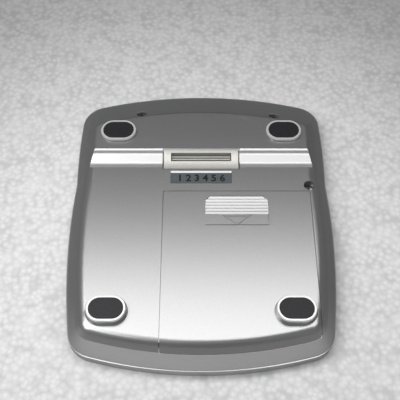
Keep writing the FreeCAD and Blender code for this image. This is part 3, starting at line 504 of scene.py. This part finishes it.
def grainy(name, dark, light, rough, scale, bump=0.0, metallic=0.0, rough_swing=0.08):
    """Principled finish: a noise of the given scale mixes two tones, sways roughness and lifts a bump."""
    material, tree, surface = new_material(name)
    feed(tree, surface.inputs["Metallic"], metallic)
    noise = node_of(tree, "ShaderNodeTexNoise")
    feed(tree, noise.inputs["Scale"], scale)
    feed(tree, noise.inputs["Detail"], GRAIN_DETAIL)
    feed(tree, noise.inputs["Vector"], node_of(tree, "ShaderNodeTexCoord").outputs["Object"])
    grain = noise.outputs["Fac"]
    feed(tree, surface.inputs["Base Color"], toned(tree, grain, tuple(zip(GRAIN_SPAN, (dark, light)))))
    sway = ranged(tree, grain, (0.0, 1.0), (rough - rough_swing, rough + rough_swing), False)
    feed(tree, surface.inputs["Roughness"], sway)
    if bump > 0.0:
        lift = node_of(tree, "ShaderNodeBump")
        feed(tree, lift.inputs["Strength"], bump)
        feed(tree, lift.inputs["Distance"], BUMP_DEPTH)
        feed(tree, lift.inputs["Height"], grain)
        feed(tree, surface.inputs["Normal"], lift.outputs["Normal"])
    return material


print("grain bump of", BUMP_DEPTH / MM, "mm at full strength")

# %% [markdown]
# ## Outside and inside
# The case is silver paint: mostly metallic, with a very fine grain. The rims of the feet are paler, the
# insert is ivory plastic and the feet are rubber. On top and inside are a printed board, glass, film,
# moulded keys, a circuit board and metal. Each row gives the two tones, the roughness, the scale of the
# grain, its bump, the metallic share and how far the roughness swings.

# %% Finishes by slot
FINISHES = {
    "silver_shell": grainy("silver_paint", (0.50, 0.505, 0.50), (0.56, 0.565, 0.56), 0.31, 2600.0,
                           0.02, 0.88, 0.03),
    "rim_silver": grainy("rim_silver", (0.84, 0.84, 0.83), (0.92, 0.92, 0.91), 0.34, 1500.0,
                         0.02, 0.52, 0.04),
    "black_rubber": grainy("black_rubber", (0.008, 0.008, 0.010), (0.022, 0.022, 0.026), 0.5, 900.0, 0.25),
    "ivory": grainy("ivory_plastic", (0.56, 0.55, 0.51), (0.64, 0.63, 0.59), 0.32, 900.0, 0.02, 0.42, 0.04),
    "grey_label": grainy("grey_foil", (0.075, 0.090, 0.098), (0.105, 0.122, 0.130), 0.45, 1200.0, 0.03),
    "label_ink": grainy("label_ink", (0.003, 0.003, 0.004), (0.010, 0.010, 0.012), 0.7, 900.0),
    "spring_metal": grainy("nickel_plate", (0.60, 0.58, 0.54), (0.72, 0.70, 0.66), 0.28, 900.0, 0.03, 1.0),
    "screw_steel": grainy("screw_zinc", (0.22, 0.22, 0.23), (0.36, 0.36, 0.37), 0.35, 1500.0, 0.05, 1.0),
    "board_cream": grainy("cream_print", (0.62, 0.53, 0.36), (0.72, 0.63, 0.46), 0.58, 420.0, 0.05),
    "board_brown": grainy("brown_print", (0.10, 0.045, 0.022), (0.18, 0.09, 0.05), 0.55, 420.0, 0.05),
    "film": grainy("sensor_film", (0.42, 0.45, 0.42), (0.52, 0.55, 0.52), 0.30, 600.0, 0.02),
    "circuit_green": grainy("solder_mask", (0.02, 0.14, 0.06), (0.04, 0.20, 0.09), 0.35, 500.0, 0.03),
    "chip_black": grainy("chip_epoxy", (0.015, 0.015, 0.016), (0.03, 0.03, 0.032), 0.45, 800.0, 0.05),
    "brass": grainy("buzzer_brass", (0.55, 0.40, 0.15), (0.68, 0.52, 0.22), 0.32, 700.0, 0.03, 1.0),
    "clear_window": grainy("window_tint", (0.10, 0.12, 0.12), (0.13, 0.15, 0.15), 0.08, 300.0,
                           0.0, 0.0, 0.03),
    "display_grey": grainy("display_glass", (0.34, 0.40, 0.32), (0.40, 0.46, 0.38), 0.25, 500.0),
    "frame_black": grainy("frame_moulding", (0.02, 0.02, 0.022), (0.05, 0.05, 0.052), 0.5, 900.0, 0.05),
    "mat_grey": grainy("mat_silicone", (0.20, 0.21, 0.22), (0.28, 0.29, 0.30), 0.6, 800.0, 0.06),
    "key_dark": grainy("key_charcoal", (0.045, 0.05, 0.06), (0.075, 0.08, 0.09), 0.38, 1400.0, 0.06),
    "key_red": grainy("key_red", (0.36, 0.035, 0.03), (0.46, 0.06, 0.05), 0.36, 1400.0, 0.06),
    "cell_wrap": grainy("cell_sleeve", (0.82, 0.82, 0.82), (1.0, 1.0, 1.0), 0.27, 400.0, 0.02, 0.3),
}
WINDOW_ALPHA = 0.22
window_tree = FINISHES["clear_window"].node_tree
feed(window_tree, window_tree.nodes["Principled BSDF"].inputs["Alpha"], WINDOW_ALPHA)
print(len(FINISHES), "finishes")

# %% [markdown]
# ## Printed sleeves and dressing
# A battery cell has a printed sleeve between bare metal ends, so its finish is multiplied by bands along
# its length. Then every solid takes the finish of its material slot. The two strips in the insert have
# the same material slot as the springs at the cells but are duller, so they get a finish of their own.

# %% Bands on the cells, and every solid dressed
CELL_BANDS = [(0.0, (0.62, 0.61, 0.58)), (0.025, (0.05, 0.10, 0.26)), (0.66, (0.85, 0.85, 0.83)),
              (0.68, (0.62, 0.36, 0.12)), (0.955, (0.62, 0.61, 0.58))]
SLOT_OF = {entry["node"]: entry["material_slot"] for entry in frame["record"]["subparts"]}


def banded(material, low, high, bands):
    """Prints bands along Y over a finish: each band is a start, as a share of the run, and a colour."""
    tree = material.node_tree
    surface = tree.nodes["Principled BSDF"]
    grain = surface.inputs["Base Color"].links[0].from_socket
    parts = node_of(tree, "ShaderNodeSeparateXYZ")
    feed(tree, parts.inputs["Vector"], node_of(tree, "ShaderNodeTexCoord").outputs["Object"])
    run = ranged(tree, parts.outputs["Y"], (low, high), (0.0, 1.0), False)
    printed = blended(tree, 1.0, toned(tree, run, bands, True), grain, "MULTIPLY")
    feed(tree, surface.inputs["Base Color"], printed)


def dress(node, material):
    """Give a CAD node one finish in place of the plain one it came with."""
    solid = bpy.data.objects[node]
    solid.data.materials.clear()
    solid.data.materials.append(material)


cell_low, cell_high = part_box("battery_cells")
banded(FINISHES["cell_wrap"], cell_low[1], cell_high[1], CELL_BANDS)
for node_name, slot_name in SLOT_OF.items():
    dress(node_name, FINISHES[slot_name])
dress("socket_contacts",
      grainy("tinned_strip", (0.66, 0.66, 0.63), (0.78, 0.78, 0.75), 0.45, 900.0, 0.03, 0.25))
print("dressed", len(SLOT_OF), "solids")

# %% [markdown]
# ## Helpers for the added pieces
# The small marks on the case are thin surfaces worked out as whole arrays. A prism is an outline carried
# along a straight run. Every piece ends with its place in its mesh, so its own object stays at the origin.
# Sizes are in millimetres from here on, and MM turns them into Blender's metres.

# %% Mesh and prism helpers
def piece_of(name, points, faces, finish, body, ink=None):
    """Make a mesh piece, give it the ink's finish or else the named finish, and let it ride on a body."""
    mesh = bpy.data.meshes.new(name)
    mesh.from_pydata(points.tolist(), [], faces)
    mesh.update()
    made = bpy.data.objects.new(name, mesh)
    mesh.materials.append(FINISHES[ink or finish])
    scene.collection.objects.link(made)
    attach(made, body)
    return made


def prism(outline, plan_to_space):
    """An outline drawn twice, at the two ends of a straight run, with walls between and both ends closed.

    The outline runs anticlockwise as seen from the second end, so every face looks outwards.
    """
    count = len(outline)
    points = np.concatenate([plan_to_space(outline, 0), plan_to_space(outline, 1)]) * MM
    step = np.arange(count)
    after = (step + 1) % count
    walls = np.stack([step, after, after + count, step + count], axis=1)
    ends = [step[::-1].tolist(), (step + count).tolist()]
    return points, walls.tolist() + ends


def across(left, right_end):
    """Lays an outline of (y, z) points in the plane x = left, and again in the plane x = right_end."""
    return lambda outline, end: np.column_stack([np.full(len(outline), (left, right_end)[end]), outline])


def upward(low, high):
    """Lays an outline of (x, y) points at the height low, and again at the height high."""
    return lambda outline, end: np.column_stack([outline, np.full(len(outline), (low, high)[end])])


print("piece and prism helpers ready")

# %% [markdown]
# ## Beads
# Raised lines, rims and scratches are beads: a low profile carried along a path in plan. Its four columns
# give a flat top with a slope on each side.

# %% Bead helper
BEAD_COLUMNS = np.array([-0.5, -0.25, 0.25, 0.5])
BEAD_DROPS = np.array([0.0, 1.0, 1.0, 0.0])
SHARPEST = 0.4


def level_face(height):
    """A level surface: one height in millimetres, given in metres at every point of the plan."""
    return lambda x, y: np.full(np.shape(x), height * MM)


def bead(path, level, width, proud, closed):
    """A low bead along a path in plan, standing down from a surface whose height is level(x, y).

    Each path point moves sideways along the mean normal of its two edges by -1/2, -1/4, 1/4 and 1/2
    of the width; the two middle columns also drop by the proud height.
    """
    path = np.asarray(path, dtype=float)
    ahead = np.roll(path, -1, axis=0) - path
    behind = path - np.roll(path, 1, axis=0)
    if not closed:
        ahead[-1] = behind[-1]
        behind[0] = ahead[0]
    unit_ahead = ahead / np.linalg.norm(ahead, axis=1, keepdims=True)
    unit_behind = behind / np.linalg.norm(behind, axis=1, keepdims=True)
    along = unit_ahead + unit_behind
    along /= np.linalg.norm(along, axis=1, keepdims=True)
    mitre = 1.0 / np.clip(np.sum(along * unit_ahead, axis=1, keepdims=True), SHARPEST, 1.0)
    side = np.column_stack([-along[:, 1], along[:, 0]]) * mitre
    plan = path[:, None, :] + side[:, None, :] * (BEAD_COLUMNS * width)[None, :, None]
    height = level(plan[..., 0], plan[..., 1]) - (BEAD_DROPS * proud)[None, :]
    points = np.concatenate([plan, height[..., None]], axis=2).reshape(-1, 3)
    return points, grid_faces(len(path), len(BEAD_COLUMNS), closed).tolist()


print("beads have", len(BEAD_COLUMNS), "columns")

# %% [markdown]
# ## Printed signs
# Figures and letters are text. The text becomes a mesh before it is laid in place, so that its place is
# in the mesh and not in its object.

# %% Sign helper
INK_DEPTH = 0.02
INK_CURVES = 3
INK_BOLD = 0.012
UNDER = Matrix(((-1.0, 0.0, 0.0), (0.0, 1.0, 0.0), (0.0, 0.0, -1.0))).to_4x4()
OVER = Matrix.Identity(4)


def sign(name, words, place, height, lay, finish, body, bold=INK_BOLD, ink=None):
    """Printed figures: text turned into a mesh, then laid on a face that looks down or up."""
    curve = bpy.data.curves.new(name, "FONT")
    curve.body = words
    curve.size = height * MM
    curve.align_x = "CENTER"
    curve.align_y = "CENTER"
    curve.extrude = INK_DEPTH * MM
    curve.offset = height * MM * bold
    curve.resolution_u = INK_CURVES
    draft = bpy.data.objects.new(name + "_draft", curve)
    scene.collection.objects.link(draft)
    shape = draft.evaluated_get(bpy.context.evaluated_depsgraph_get())
    mesh = bpy.data.meshes.new_from_object(shape)
    bpy.data.objects.remove(draft)
    bpy.data.curves.remove(curve)
    mesh.transform(Matrix.Translation(Vector(place) * MM) @ lay)
    mesh.materials.clear()
    mesh.materials.append(FINISHES[ink or finish])
    made = bpy.data.objects.new(name, mesh)
    scene.collection.objects.link(made)
    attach(made, body)
    return made


print("sign helper ready")

# %% [markdown]
# ## The thumb grip
# The cover is pushed by a recess with ribs. The near part of that recess looks level in the photograph
# and carries a raised arrow, which points the way the cover slides. The solid slopes there, so a thin
# wedge levels it and the arrow, a closed bead, stands on the wedge.

# %% Level plate and arrow
BASE = 4.4
BAR = 2.0
THUMB_NEAR = -12.8
THUMB_DEEP_AT = -5.3
THUMB_DEEP = 1.0
THUMB_X = -20.8
THUMB_HALF = 18.4
PLATE_SUNK = 0.08
PLATE_LEVEL = BASE + PLATE_SUNK
ARROW = np.array([(-28.0, -6.4), (-20.8, -12.2), (-13.6, -6.4)])
ARROW_WIDE = 1.2
ARROW_PROUD = 0.28


def thumb_plate():
    """Section of the wedge that levels the near part of the thumb recess: level below, and above it the
    straight slope of the recess from its near edge to its deepest line."""
    near = THUMB_NEAR + (THUMB_DEEP_AT - THUMB_NEAR) * PLATE_SUNK / THUMB_DEEP
    return np.array([(near, PLATE_LEVEL), (THUMB_DEEP_AT, PLATE_LEVEL), (THUMB_DEEP_AT, BASE + THUMB_DEEP)])


points, faces = prism(thumb_plate(), across(THUMB_X - THUMB_HALF, THUMB_X + THUMB_HALF))
piece_of("arrow_plate", points, faces, "silver_shell", "cover")
points, faces = bead(ARROW * MM, level_face(PLATE_LEVEL), ARROW_WIDE * MM, ARROW_PROUD * MM, True)
piece_of("slide_arrow", points, faces, "silver_shell", "cover")
print("plate at", PLATE_LEVEL, "mm with an arrow", ARROW_PROUD, "mm proud")

# %% [markdown]
# ## The label
# The label lies in a shallow recess whose far edge slopes and catches the light. It carries plain figures,
# stamped a little apart.

# %% Sloped edge and figures
LIP_WIDE = 1.3
LIP_BEYOND = 0.1
LABEL_FIGURES = "123456"
FIGURE_PITCH = 5.1
FIGURE_HEIGHT = 6.6
FIGURE_SHIFT = 0.7
FIGURE_BOLD = 0.030

label_low, label_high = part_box("serial_label")
label_middle = [(label_low[0] + label_high[0]) / 2 / MM, (label_low[1] + label_high[1]) / 2 / MM]
label_face = label_low[2] / MM
lip_far = label_high[1] / MM + LIP_BEYOND
lip = np.array([(lip_far - LIP_WIDE, label_face), (lip_far, BASE), (lip_far, label_face)])
points, faces = prism(lip, across(label_low[0] / MM, label_high[0] / MM))
piece_of("label_lip", points, faces, "silver_shell", "case")
for number, figure in enumerate(LABEL_FIGURES):
    figure_x = label_middle[0] - FIGURE_PITCH * (number - (len(LABEL_FIGURES) - 1) / 2)
    place = (figure_x, label_middle[1] - FIGURE_SHIFT, label_face)
    sign("label_figure_" + figure, figure, place, FIGURE_HEIGHT, UNDER, "grey_label", "case", FIGURE_BOLD,
         "label_ink")
print("label figures", LABEL_FIGURES)

# %% [markdown]
# ## Screws and scuffs
# The screws sit deep in their bores, and the shade in each cross recess is painted: a thin black plus
# sign on the screw's face, each turned as it was left. The bar has a few light scuffs, as a used case has
# where it stands on its feet: beads so low that they only catch the light.

# %% Painted shade in the cross recesses, and scuffs
SCREW_PLACES = np.array([(37.8, 68.8), (-46.2, 67.2), (-64.6, 14.7), (13.4, -15.3), (-55.6, -15.3)])
SCREW_TURNS = (0.4, 1.1, 0.2, 0.7, 1.3)
SCREW_FACE = 9.7
CROSS_PROUD = 0.12
CROSS_LONG = 1.75
CROSS_HALF = 0.36
SCUFFS = {"scuff_long": (-33.0, 60.5, 14.0, 0.5), "scuff_short": (-27.0, 63.5, 7.0, 0.25),
          "scuff_low": (-38.0, 57.0, 4.0, 1.3)}
SCUFF_BOW = 5.0
SCUFF_WIDE = 0.28
SCUFF_PROUD = 0.03
SCUFF_POINTS = 24


def painted_cross_shade(centre, turn):
    """A plus sign of two crossing arms, the outline of the painted shade in a cross recess: twelve corners
    in a ring, turned by an angle about its centre.
    """
    arm, half = CROSS_LONG, CROSS_HALF
    ring = np.array([(arm, -half), (arm, half), (half, half), (half, arm),
                     (-half, arm), (-half, half), (-arm, half), (-arm, -half),
                     (-half, -half), (-half, -arm), (half, -arm), (half, -half)])
    spin = np.array([(math.cos(turn), -math.sin(turn)), (math.sin(turn), math.cos(turn))])
    return ring @ spin.T + centre


def scuff_path(x, y, length, tilt):
    """A straight line at a tilt through a point, bowed by a parabola along y."""
    sweep = np.linspace(-0.5, 0.5, SCUFF_POINTS)
    return np.column_stack([x + length * sweep * math.cos(tilt),
                            y + length * sweep * math.sin(tilt) + SCUFF_BOW * sweep ** 2]) * MM


# Each black plus sign is painted shade: the dark of a deep cross recess, laid as a thin piece on the screw.
for number, (centre, turn) in enumerate(zip(SCREW_PLACES, SCREW_TURNS)):
    points, faces = prism(painted_cross_shade(centre, turn), upward(SCREW_FACE - CROSS_PROUD, SCREW_FACE))
    piece_of("screw_cross_shade_%d" % number, points, faces, "chip_black", "case")
for scuff_name, scuff in SCUFFS.items():
    points, faces = bead(scuff_path(*scuff), level_face(BAR), SCUFF_WIDE * MM, SCUFF_PROUD * MM, False)
    piece_of(scuff_name, points, faces, "silver_shell", "case")
print("underside has", len(SCREW_PLACES), "screws and", len(SCUFFS), "scuffs")

# %% [markdown]
# ## Rims round the feet
# Each rubber foot lies in a raised rim that catches the light all round. The rim is a bead along the
# foot's outline, a rectangle with two round ends, drawn a little larger than the foot.

# %% A pale rim round each foot
RIM_WIDE = 2.0
RIM_FOOT = 1.0
RIM_PROUD = 0.9
RIM_OFFSET = 0.55
CAP_POINTS = 24
RIM_BODIES = {"foot_pad_near_right": "case", "foot_pad_far_left": "case", "foot_pad_far_right": "case",
              "cover_foot_pad": "cover"}


def stadium(low, high, grow):
    """Outline of a lying stadium in a box, grown by a distance: half circles about two centres."""
    middle = (np.array(low) + np.array(high))[:2] / 2
    radius = (high[1] - low[1]) / 2
    straight = (high[0] - low[0]) / 2 - radius
    angles = np.linspace(-math.pi / 2, math.pi / 2, CAP_POINTS)
    cap = np.column_stack([np.cos(angles), np.sin(angles)]) * (radius + grow) + (straight, 0.0)
    return np.concatenate([cap, -cap]) + middle


for foot, body in RIM_BODIES.items():
    foot_low, foot_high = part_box(foot)
    rim_path = stadium(foot_low, foot_high, RIM_OFFSET * MM)
    points, faces = bead(rim_path, level_face(RIM_FOOT), RIM_WIDE * MM, RIM_PROUD * MM, True)
    piece_of(foot + "_rim", points, faces, "silver_shell", body, "rim_silver")
print("rims", len(RIM_BODIES))

# %% [markdown]
# ## The insert with the slot
# The insert is a moulded piece whose face follows the ramp: level where it leaves the base and steeper
# towards the bar. The solid has a flat face, so this piece stands for it. A grid gives the face, and the
# cells over the slot are left out.

# %% Face of the insert
FLANGE = 1.6
SLOT_HALF = 18.4
SLOT_NEAR = 32.0
SLOT_FAR = 37.3
SLOT_FLOOR = 9.6
EDGE_ROUND = 0.7
EDGE_STEPS = 5
NEAR_STEPS = 12
SLOT_STEPS = 8
FAR_STEPS = 4


def insert_face(near, far, half):
    """Grid of the face: the base level less the bar's rise times t squared, where t runs from 0 at the near
    edge to 1 at the far one, and the last part of the width rounds away along a quarter circle."""
    bend = EDGE_ROUND * np.linspace(0.0, 1.0, EDGE_STEPS)
    columns = np.concatenate([-half + bend, [-SLOT_HALF, SLOT_HALF], half - bend[::-1]])
    rows = np.concatenate([np.linspace(near, SLOT_NEAR, NEAR_STEPS),
                           np.linspace(SLOT_NEAR, SLOT_FAR, SLOT_STEPS)[1:],
                           np.linspace(SLOT_FAR, far, FAR_STEPS)[1:]])
    y, x = np.meshgrid(rows, columns, indexing="ij")
    t = (y - near) / (far - near)
    turned = np.clip((np.abs(x) - half + EDGE_ROUND) / EDGE_ROUND, 0.0, 1.0)
    z = BASE - (BASE - BAR) * t ** 2 + EDGE_ROUND * (1.0 - np.sqrt(1.0 - turned ** 2))
    return np.stack([x, y, z], axis=2)


def grid_ring(numbers, low_row, high_row, low_column, high_column):
    """Point numbers round a block of a grid, anticlockwise from above, each corner once."""
    near_side = numbers[low_row, low_column:high_column]
    right_side = numbers[low_row:high_row, high_column]
    far_side = numbers[high_row, high_column:low_column:-1]
    left_side = numbers[high_row:low_row:-1, low_column]
    return np.concatenate([near_side, right_side, far_side, left_side])


print("insert rises by", round(BASE - BAR, 2), "mm")

# %% [markdown]
# ## Closing the insert
# Rings of the face's own points carry the walls up to a flange inside the case, and the walls of the slot
# up to its floor. Walls and face share their points, so the shell is closed.

# %% A curved insert in place of the flat one
def walls_between(lower, upper):
    """Quads between two closed rings of point numbers; they look outwards on an anticlockwise ring."""
    return np.stack([lower, np.roll(lower, -1), np.roll(upper, -1), upper], axis=1)


def insert_shell(low, high):
    """Closed insert inside a box: the face, its border carried up to the deck, out by the flange's width
    and up by its height, and the slot's border carried up to the slot's floor."""
    near, far = low[1] + FLANGE, high[1] - FLANGE
    half, deck = high[0] - FLANGE, high[2] - FLANGE
    grid = insert_face(near, far, half)
    rows, columns = grid.shape[:2]
    face = grid.reshape(-1, 3)
    quads = grid_faces(rows, columns, False)[:, ::-1]
    middle = face[quads].mean(axis=1)
    in_slot = (np.abs(middle[:, 0]) < SLOT_HALF) & (middle[:, 1] > SLOT_NEAR) & (middle[:, 1] < SLOT_FAR)
    numbers = np.arange(rows * columns).reshape(rows, columns)
    border = grid_ring(numbers, 0, rows - 1, 0, columns - 1)
    slot = grid_ring(numbers, NEAR_STEPS - 1, NEAR_STEPS + SLOT_STEPS - 2, EDGE_STEPS, EDGE_STEPS + 1)
    centre = np.array([0.0, (near + far) / 2])
    half_size = np.array([half, (far - near) / 2])
    edge = face[border, :2]
    wide = (edge - centre) * ((half_size + FLANGE) / half_size) + centre
    levels = [(edge, deck), (wide, deck), (wide, deck + FLANGE), (face[slot, :2], SLOT_FLOOR)]
    rings = [np.column_stack([plan, np.full(len(plan), height)]) for plan, height in levels]
    starts = len(face) + np.cumsum([0] + [len(ring) for ring in rings])
    neck, under, over, slot_floor = (np.arange(a, b) for a, b in zip(starts[:-1], starts[1:]))
    sides = np.concatenate([quads[~in_slot], walls_between(border, neck), walls_between(neck, under),
                            walls_between(under, over), walls_between(slot, slot_floor)[:, ::-1]])
    ends = [over.tolist(), slot_floor[::-1].tolist()]
    return np.concatenate([face] + rings) * MM, sides.tolist() + ends


insert_low, insert_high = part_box("socket_insert")
points, faces = insert_shell(np.array(insert_low) / MM, np.array(insert_high) / MM)
insert = piece_of("curved_insert", points, faces, "ivory", "case")
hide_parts("socket_insert")
print("insert has", len(points), "points")

# %% [markdown]
# ## A soft skin on the ramp
# In the photograph the ramp fades in softly from the base, shows a pale core, turns grey again and ends in
# a thin bright line along the bar. The solid's ramp is a plain arc. A skin less than a millimetre thick
# gives it that profile. A table gives its slope at places along y, and adding the slopes up gives the
# height.

# %% Profiles of the skin
SLOPE_PLACES = (27.6, 30.0, 30.9, 31.6, 35.6, 36.4, 36.9, 37.3, 38.8, 39.2, 40.1, 40.6)
SLOPES = (0.0, 3.2, 9.0, 15.0, 15.5, 11.0, 5.0, 3.0, 3.0, 11.0, 11.0, 0.0)
END_START = 64.59
END_ROUND = 2.4
END_PITCH = 1.22


def eased(value, low, high):
    """A step from 0 to 1 between two bounds that starts and ends level: 3 t squared less 2 t cubed."""
    t = np.clip((value - low) / (high - low), 0.0, 1.0)
    return t * t * (3.0 - 2.0 * t)


def soft_ramp(y):
    """Height of the skin: the tangents of the slopes in the table, added up along y by trapezia and scaled
    so that the whole rise is the bar's."""
    slope = np.tan(np.radians(np.interp(y, SLOPE_PLACES, SLOPES)))
    rise = np.concatenate([[0.0], np.cumsum((slope[1:] + slope[:-1]) / 2 * np.diff(y))])
    return BASE - (BASE - BAR) * rise / rise[-1]


def bar_end(x):
    """Height of the bar's outer end: level, then an arc of a circle, then the straight side it runs into."""
    arc_run = END_ROUND * math.sin(math.atan(END_PITCH))
    out = np.clip(x - END_START, 0.0, arc_run)
    straight = np.clip(x - END_START - arc_run, 0.0, None)
    return BAR + END_ROUND - np.sqrt(END_ROUND ** 2 - out ** 2) + END_PITCH * straight


print("ramp slopes up to", max(SLOPES), "degrees before scaling")

# %% [markdown]
# ## Laying the skins
# The ramp runs on both sides of the insert, so there are two skins, and the second mirrors the first. At
# its outer end a skin follows the rounded end of the bar. Beside the insert it needs a wall, and a narrow
# strip at the wall keeps the smooth shading of the rest flat.

# %% Skins left and right of the insert
SKIN_NEAR = 27.6
SKIN_FAR = 41.4
SKIN_INNER = 23.5
SKIN_OUTER = 67.6
SKIN_PROUD = 0.03
SKIN_SUNK = 0.01
SKIN_WALL = 0.9
WALL_EDGE = 0.2
NEAR_EASE = 1.2
FAR_EASE = 0.6
SKIN_ROWS = 70
END_COLUMNS = 12


def ramp_skin(side):
    """Grid of the skin on one side: at each point the deeper of the soft height and the bar's end, with a
    little added so that it stands proud, and a last column that closes it beside the insert."""
    y = np.linspace(SKIN_NEAR, SKIN_FAR, SKIN_ROWS)
    inner = np.array([SKIN_INNER + WALL_EDGE, SKIN_INNER, SKIN_INNER])
    x = np.concatenate([np.linspace(SKIN_OUTER, END_START, END_COLUMNS), inner])
    lifted = eased(y, SKIN_NEAR, SKIN_NEAR + NEAR_EASE) - eased(y, SKIN_FAR - FAR_EASE, SKIN_FAR)
    proud = SKIN_PROUD * lifted - SKIN_SUNK
    z = np.maximum(soft_ramp(y)[:, None], bar_end(x)[None, :]) - proud[:, None]
    z[:, -1] += SKIN_WALL
    plan_y, plan_x = np.meshgrid(y, x * side, indexing="ij")
    quads = grid_faces(len(y), len(x), False)
    return np.column_stack([plan_x.ravel(), plan_y.ravel(), z.ravel()]) * MM, quads[:, ::side].tolist()


for side_name, side in (("left", 1), ("right", -1)):
    points, faces = ramp_skin(side)
    skin = piece_of("ramp_skin_" + side_name, points, faces, "silver_shell", "case")
    skin.data.shade_smooth()
    print("skin on the", side_name, "has", len(points), "points")

# %% [markdown]
# ## Marks on the top
# Players read the squares by letters along the near edge and numbers along the left one, and the keys
# carry the same numbers. The two command keys have a plus and a minus.

# %% Coordinates and key figures
FILES = "abcdefgh"
BOARD_MARGIN = 1.0
MARK_HEIGHT = 4.4
FILE_GAP = 3.6
RANK_GAP = 4.0
KEY_FIGURE_HEIGHT = 4.6
COMMAND_HEIGHT = 7.0


def top_centre(node):
    """Middle of a node's top face, in millimetres."""
    low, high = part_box(node)
    return ((low[0] + high[0]) / 2 / MM, (low[1] + high[1]) / 2 / MM, high[2] / MM)


board_low, board_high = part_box("board_plate")
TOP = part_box("top_housing")[1][2] / MM
square = (board_high[0] - board_low[0] - BOARD_MARGIN * MM) / len(FILES) / MM
board_middle = (board_low[1] + board_high[1]) / 2 / MM
for number, letter in enumerate(FILES):
    step = square * (number - (len(FILES) - 1) / 2)
    figure = str(number + 1)
    place = (step, board_low[1] / MM - FILE_GAP, TOP)
    sign("file_mark_" + letter, letter, place, MARK_HEIGHT, OVER, "frame_black", "case")
    place = (board_low[0] / MM - RANK_GAP, board_middle + step, TOP)
    sign("rank_mark_" + figure, figure, place, MARK_HEIGHT, OVER, "frame_black", "case")
    key = "key_file_" + letter
    sign("key_figure_" + figure, figure, top_centre(key), KEY_FIGURE_HEIGHT, OVER, "board_cream",
         key + "_cap")
for key, mark in (("key_enter", "+"), ("key_clear", "-")):
    sign(key + "_mark", mark, top_centre(key), COMMAND_HEIGHT, OVER, "board_cream", key + "_cap")
print("marks on a board with squares of", round(square, 2), "mm")

# %% [markdown]
# ## Figures in the display
# The display shows four figures built from bars, as a liquid crystal does. Each bar is a long hexagon,
# and all of them are one flat piece just over the glass.

# %% Display bars
STROKE_LONG = 4.6
STROKE_WIDE = 0.9
STROKE_GAP = 0.25
STROKE_LIFT = 0.03
STROKE_CORNERS = 6
FIGURE_STEP = 9.6
SHOWN = "1203"
SEGMENTS = {"a": (0.0, 1.0, 0), "b": (0.5, 0.5, 1), "c": (0.5, -0.5, 1), "d": (0.0, -1.0, 0),
            "e": (-0.5, -0.5, 1), "f": (-0.5, 0.5, 1), "g": (0.0, 0.0, 0)}
FIGURE_BARS = {"1": "bc", "2": "abged", "3": "abgcd", "0": "abcdef"}


def display_bar(centre, upright):
    """One bar of a figure: a long hexagon, turned a quarter when upright."""
    reach, half = STROKE_LONG / 2 - STROKE_GAP, STROKE_WIDE / 2
    ring = np.array([(-reach, 0.0), (-reach + half, -half), (reach - half, -half),
                     (reach, 0.0), (reach - half, half), (-reach + half, half)])
    if upright:
        ring = np.column_stack([-ring[:, 1], ring[:, 0]])
    return ring + centre


lcd_x, lcd_y, lcd_top = top_centre("lcd_panel")
bars = []
for number, figure in enumerate(SHOWN):
    middle = np.array([lcd_x + FIGURE_STEP * (number - (len(SHOWN) - 1) / 2), lcd_y])
    bars += [display_bar(middle + np.array([x, y]) * STROKE_LONG, upright) for x, y, upright
             in (SEGMENTS[letter] for letter in FIGURE_BARS[figure])]
plan = np.concatenate(bars)
points = np.column_stack([plan, np.full(len(plan), lcd_top + STROKE_LIFT)]) * MM
faces = np.arange(len(points)).reshape(-1, STROKE_CORNERS).tolist()
piece_of("display_figures", points, faces, "frame_black", "case")
print("display shows", len(bars), "bars")
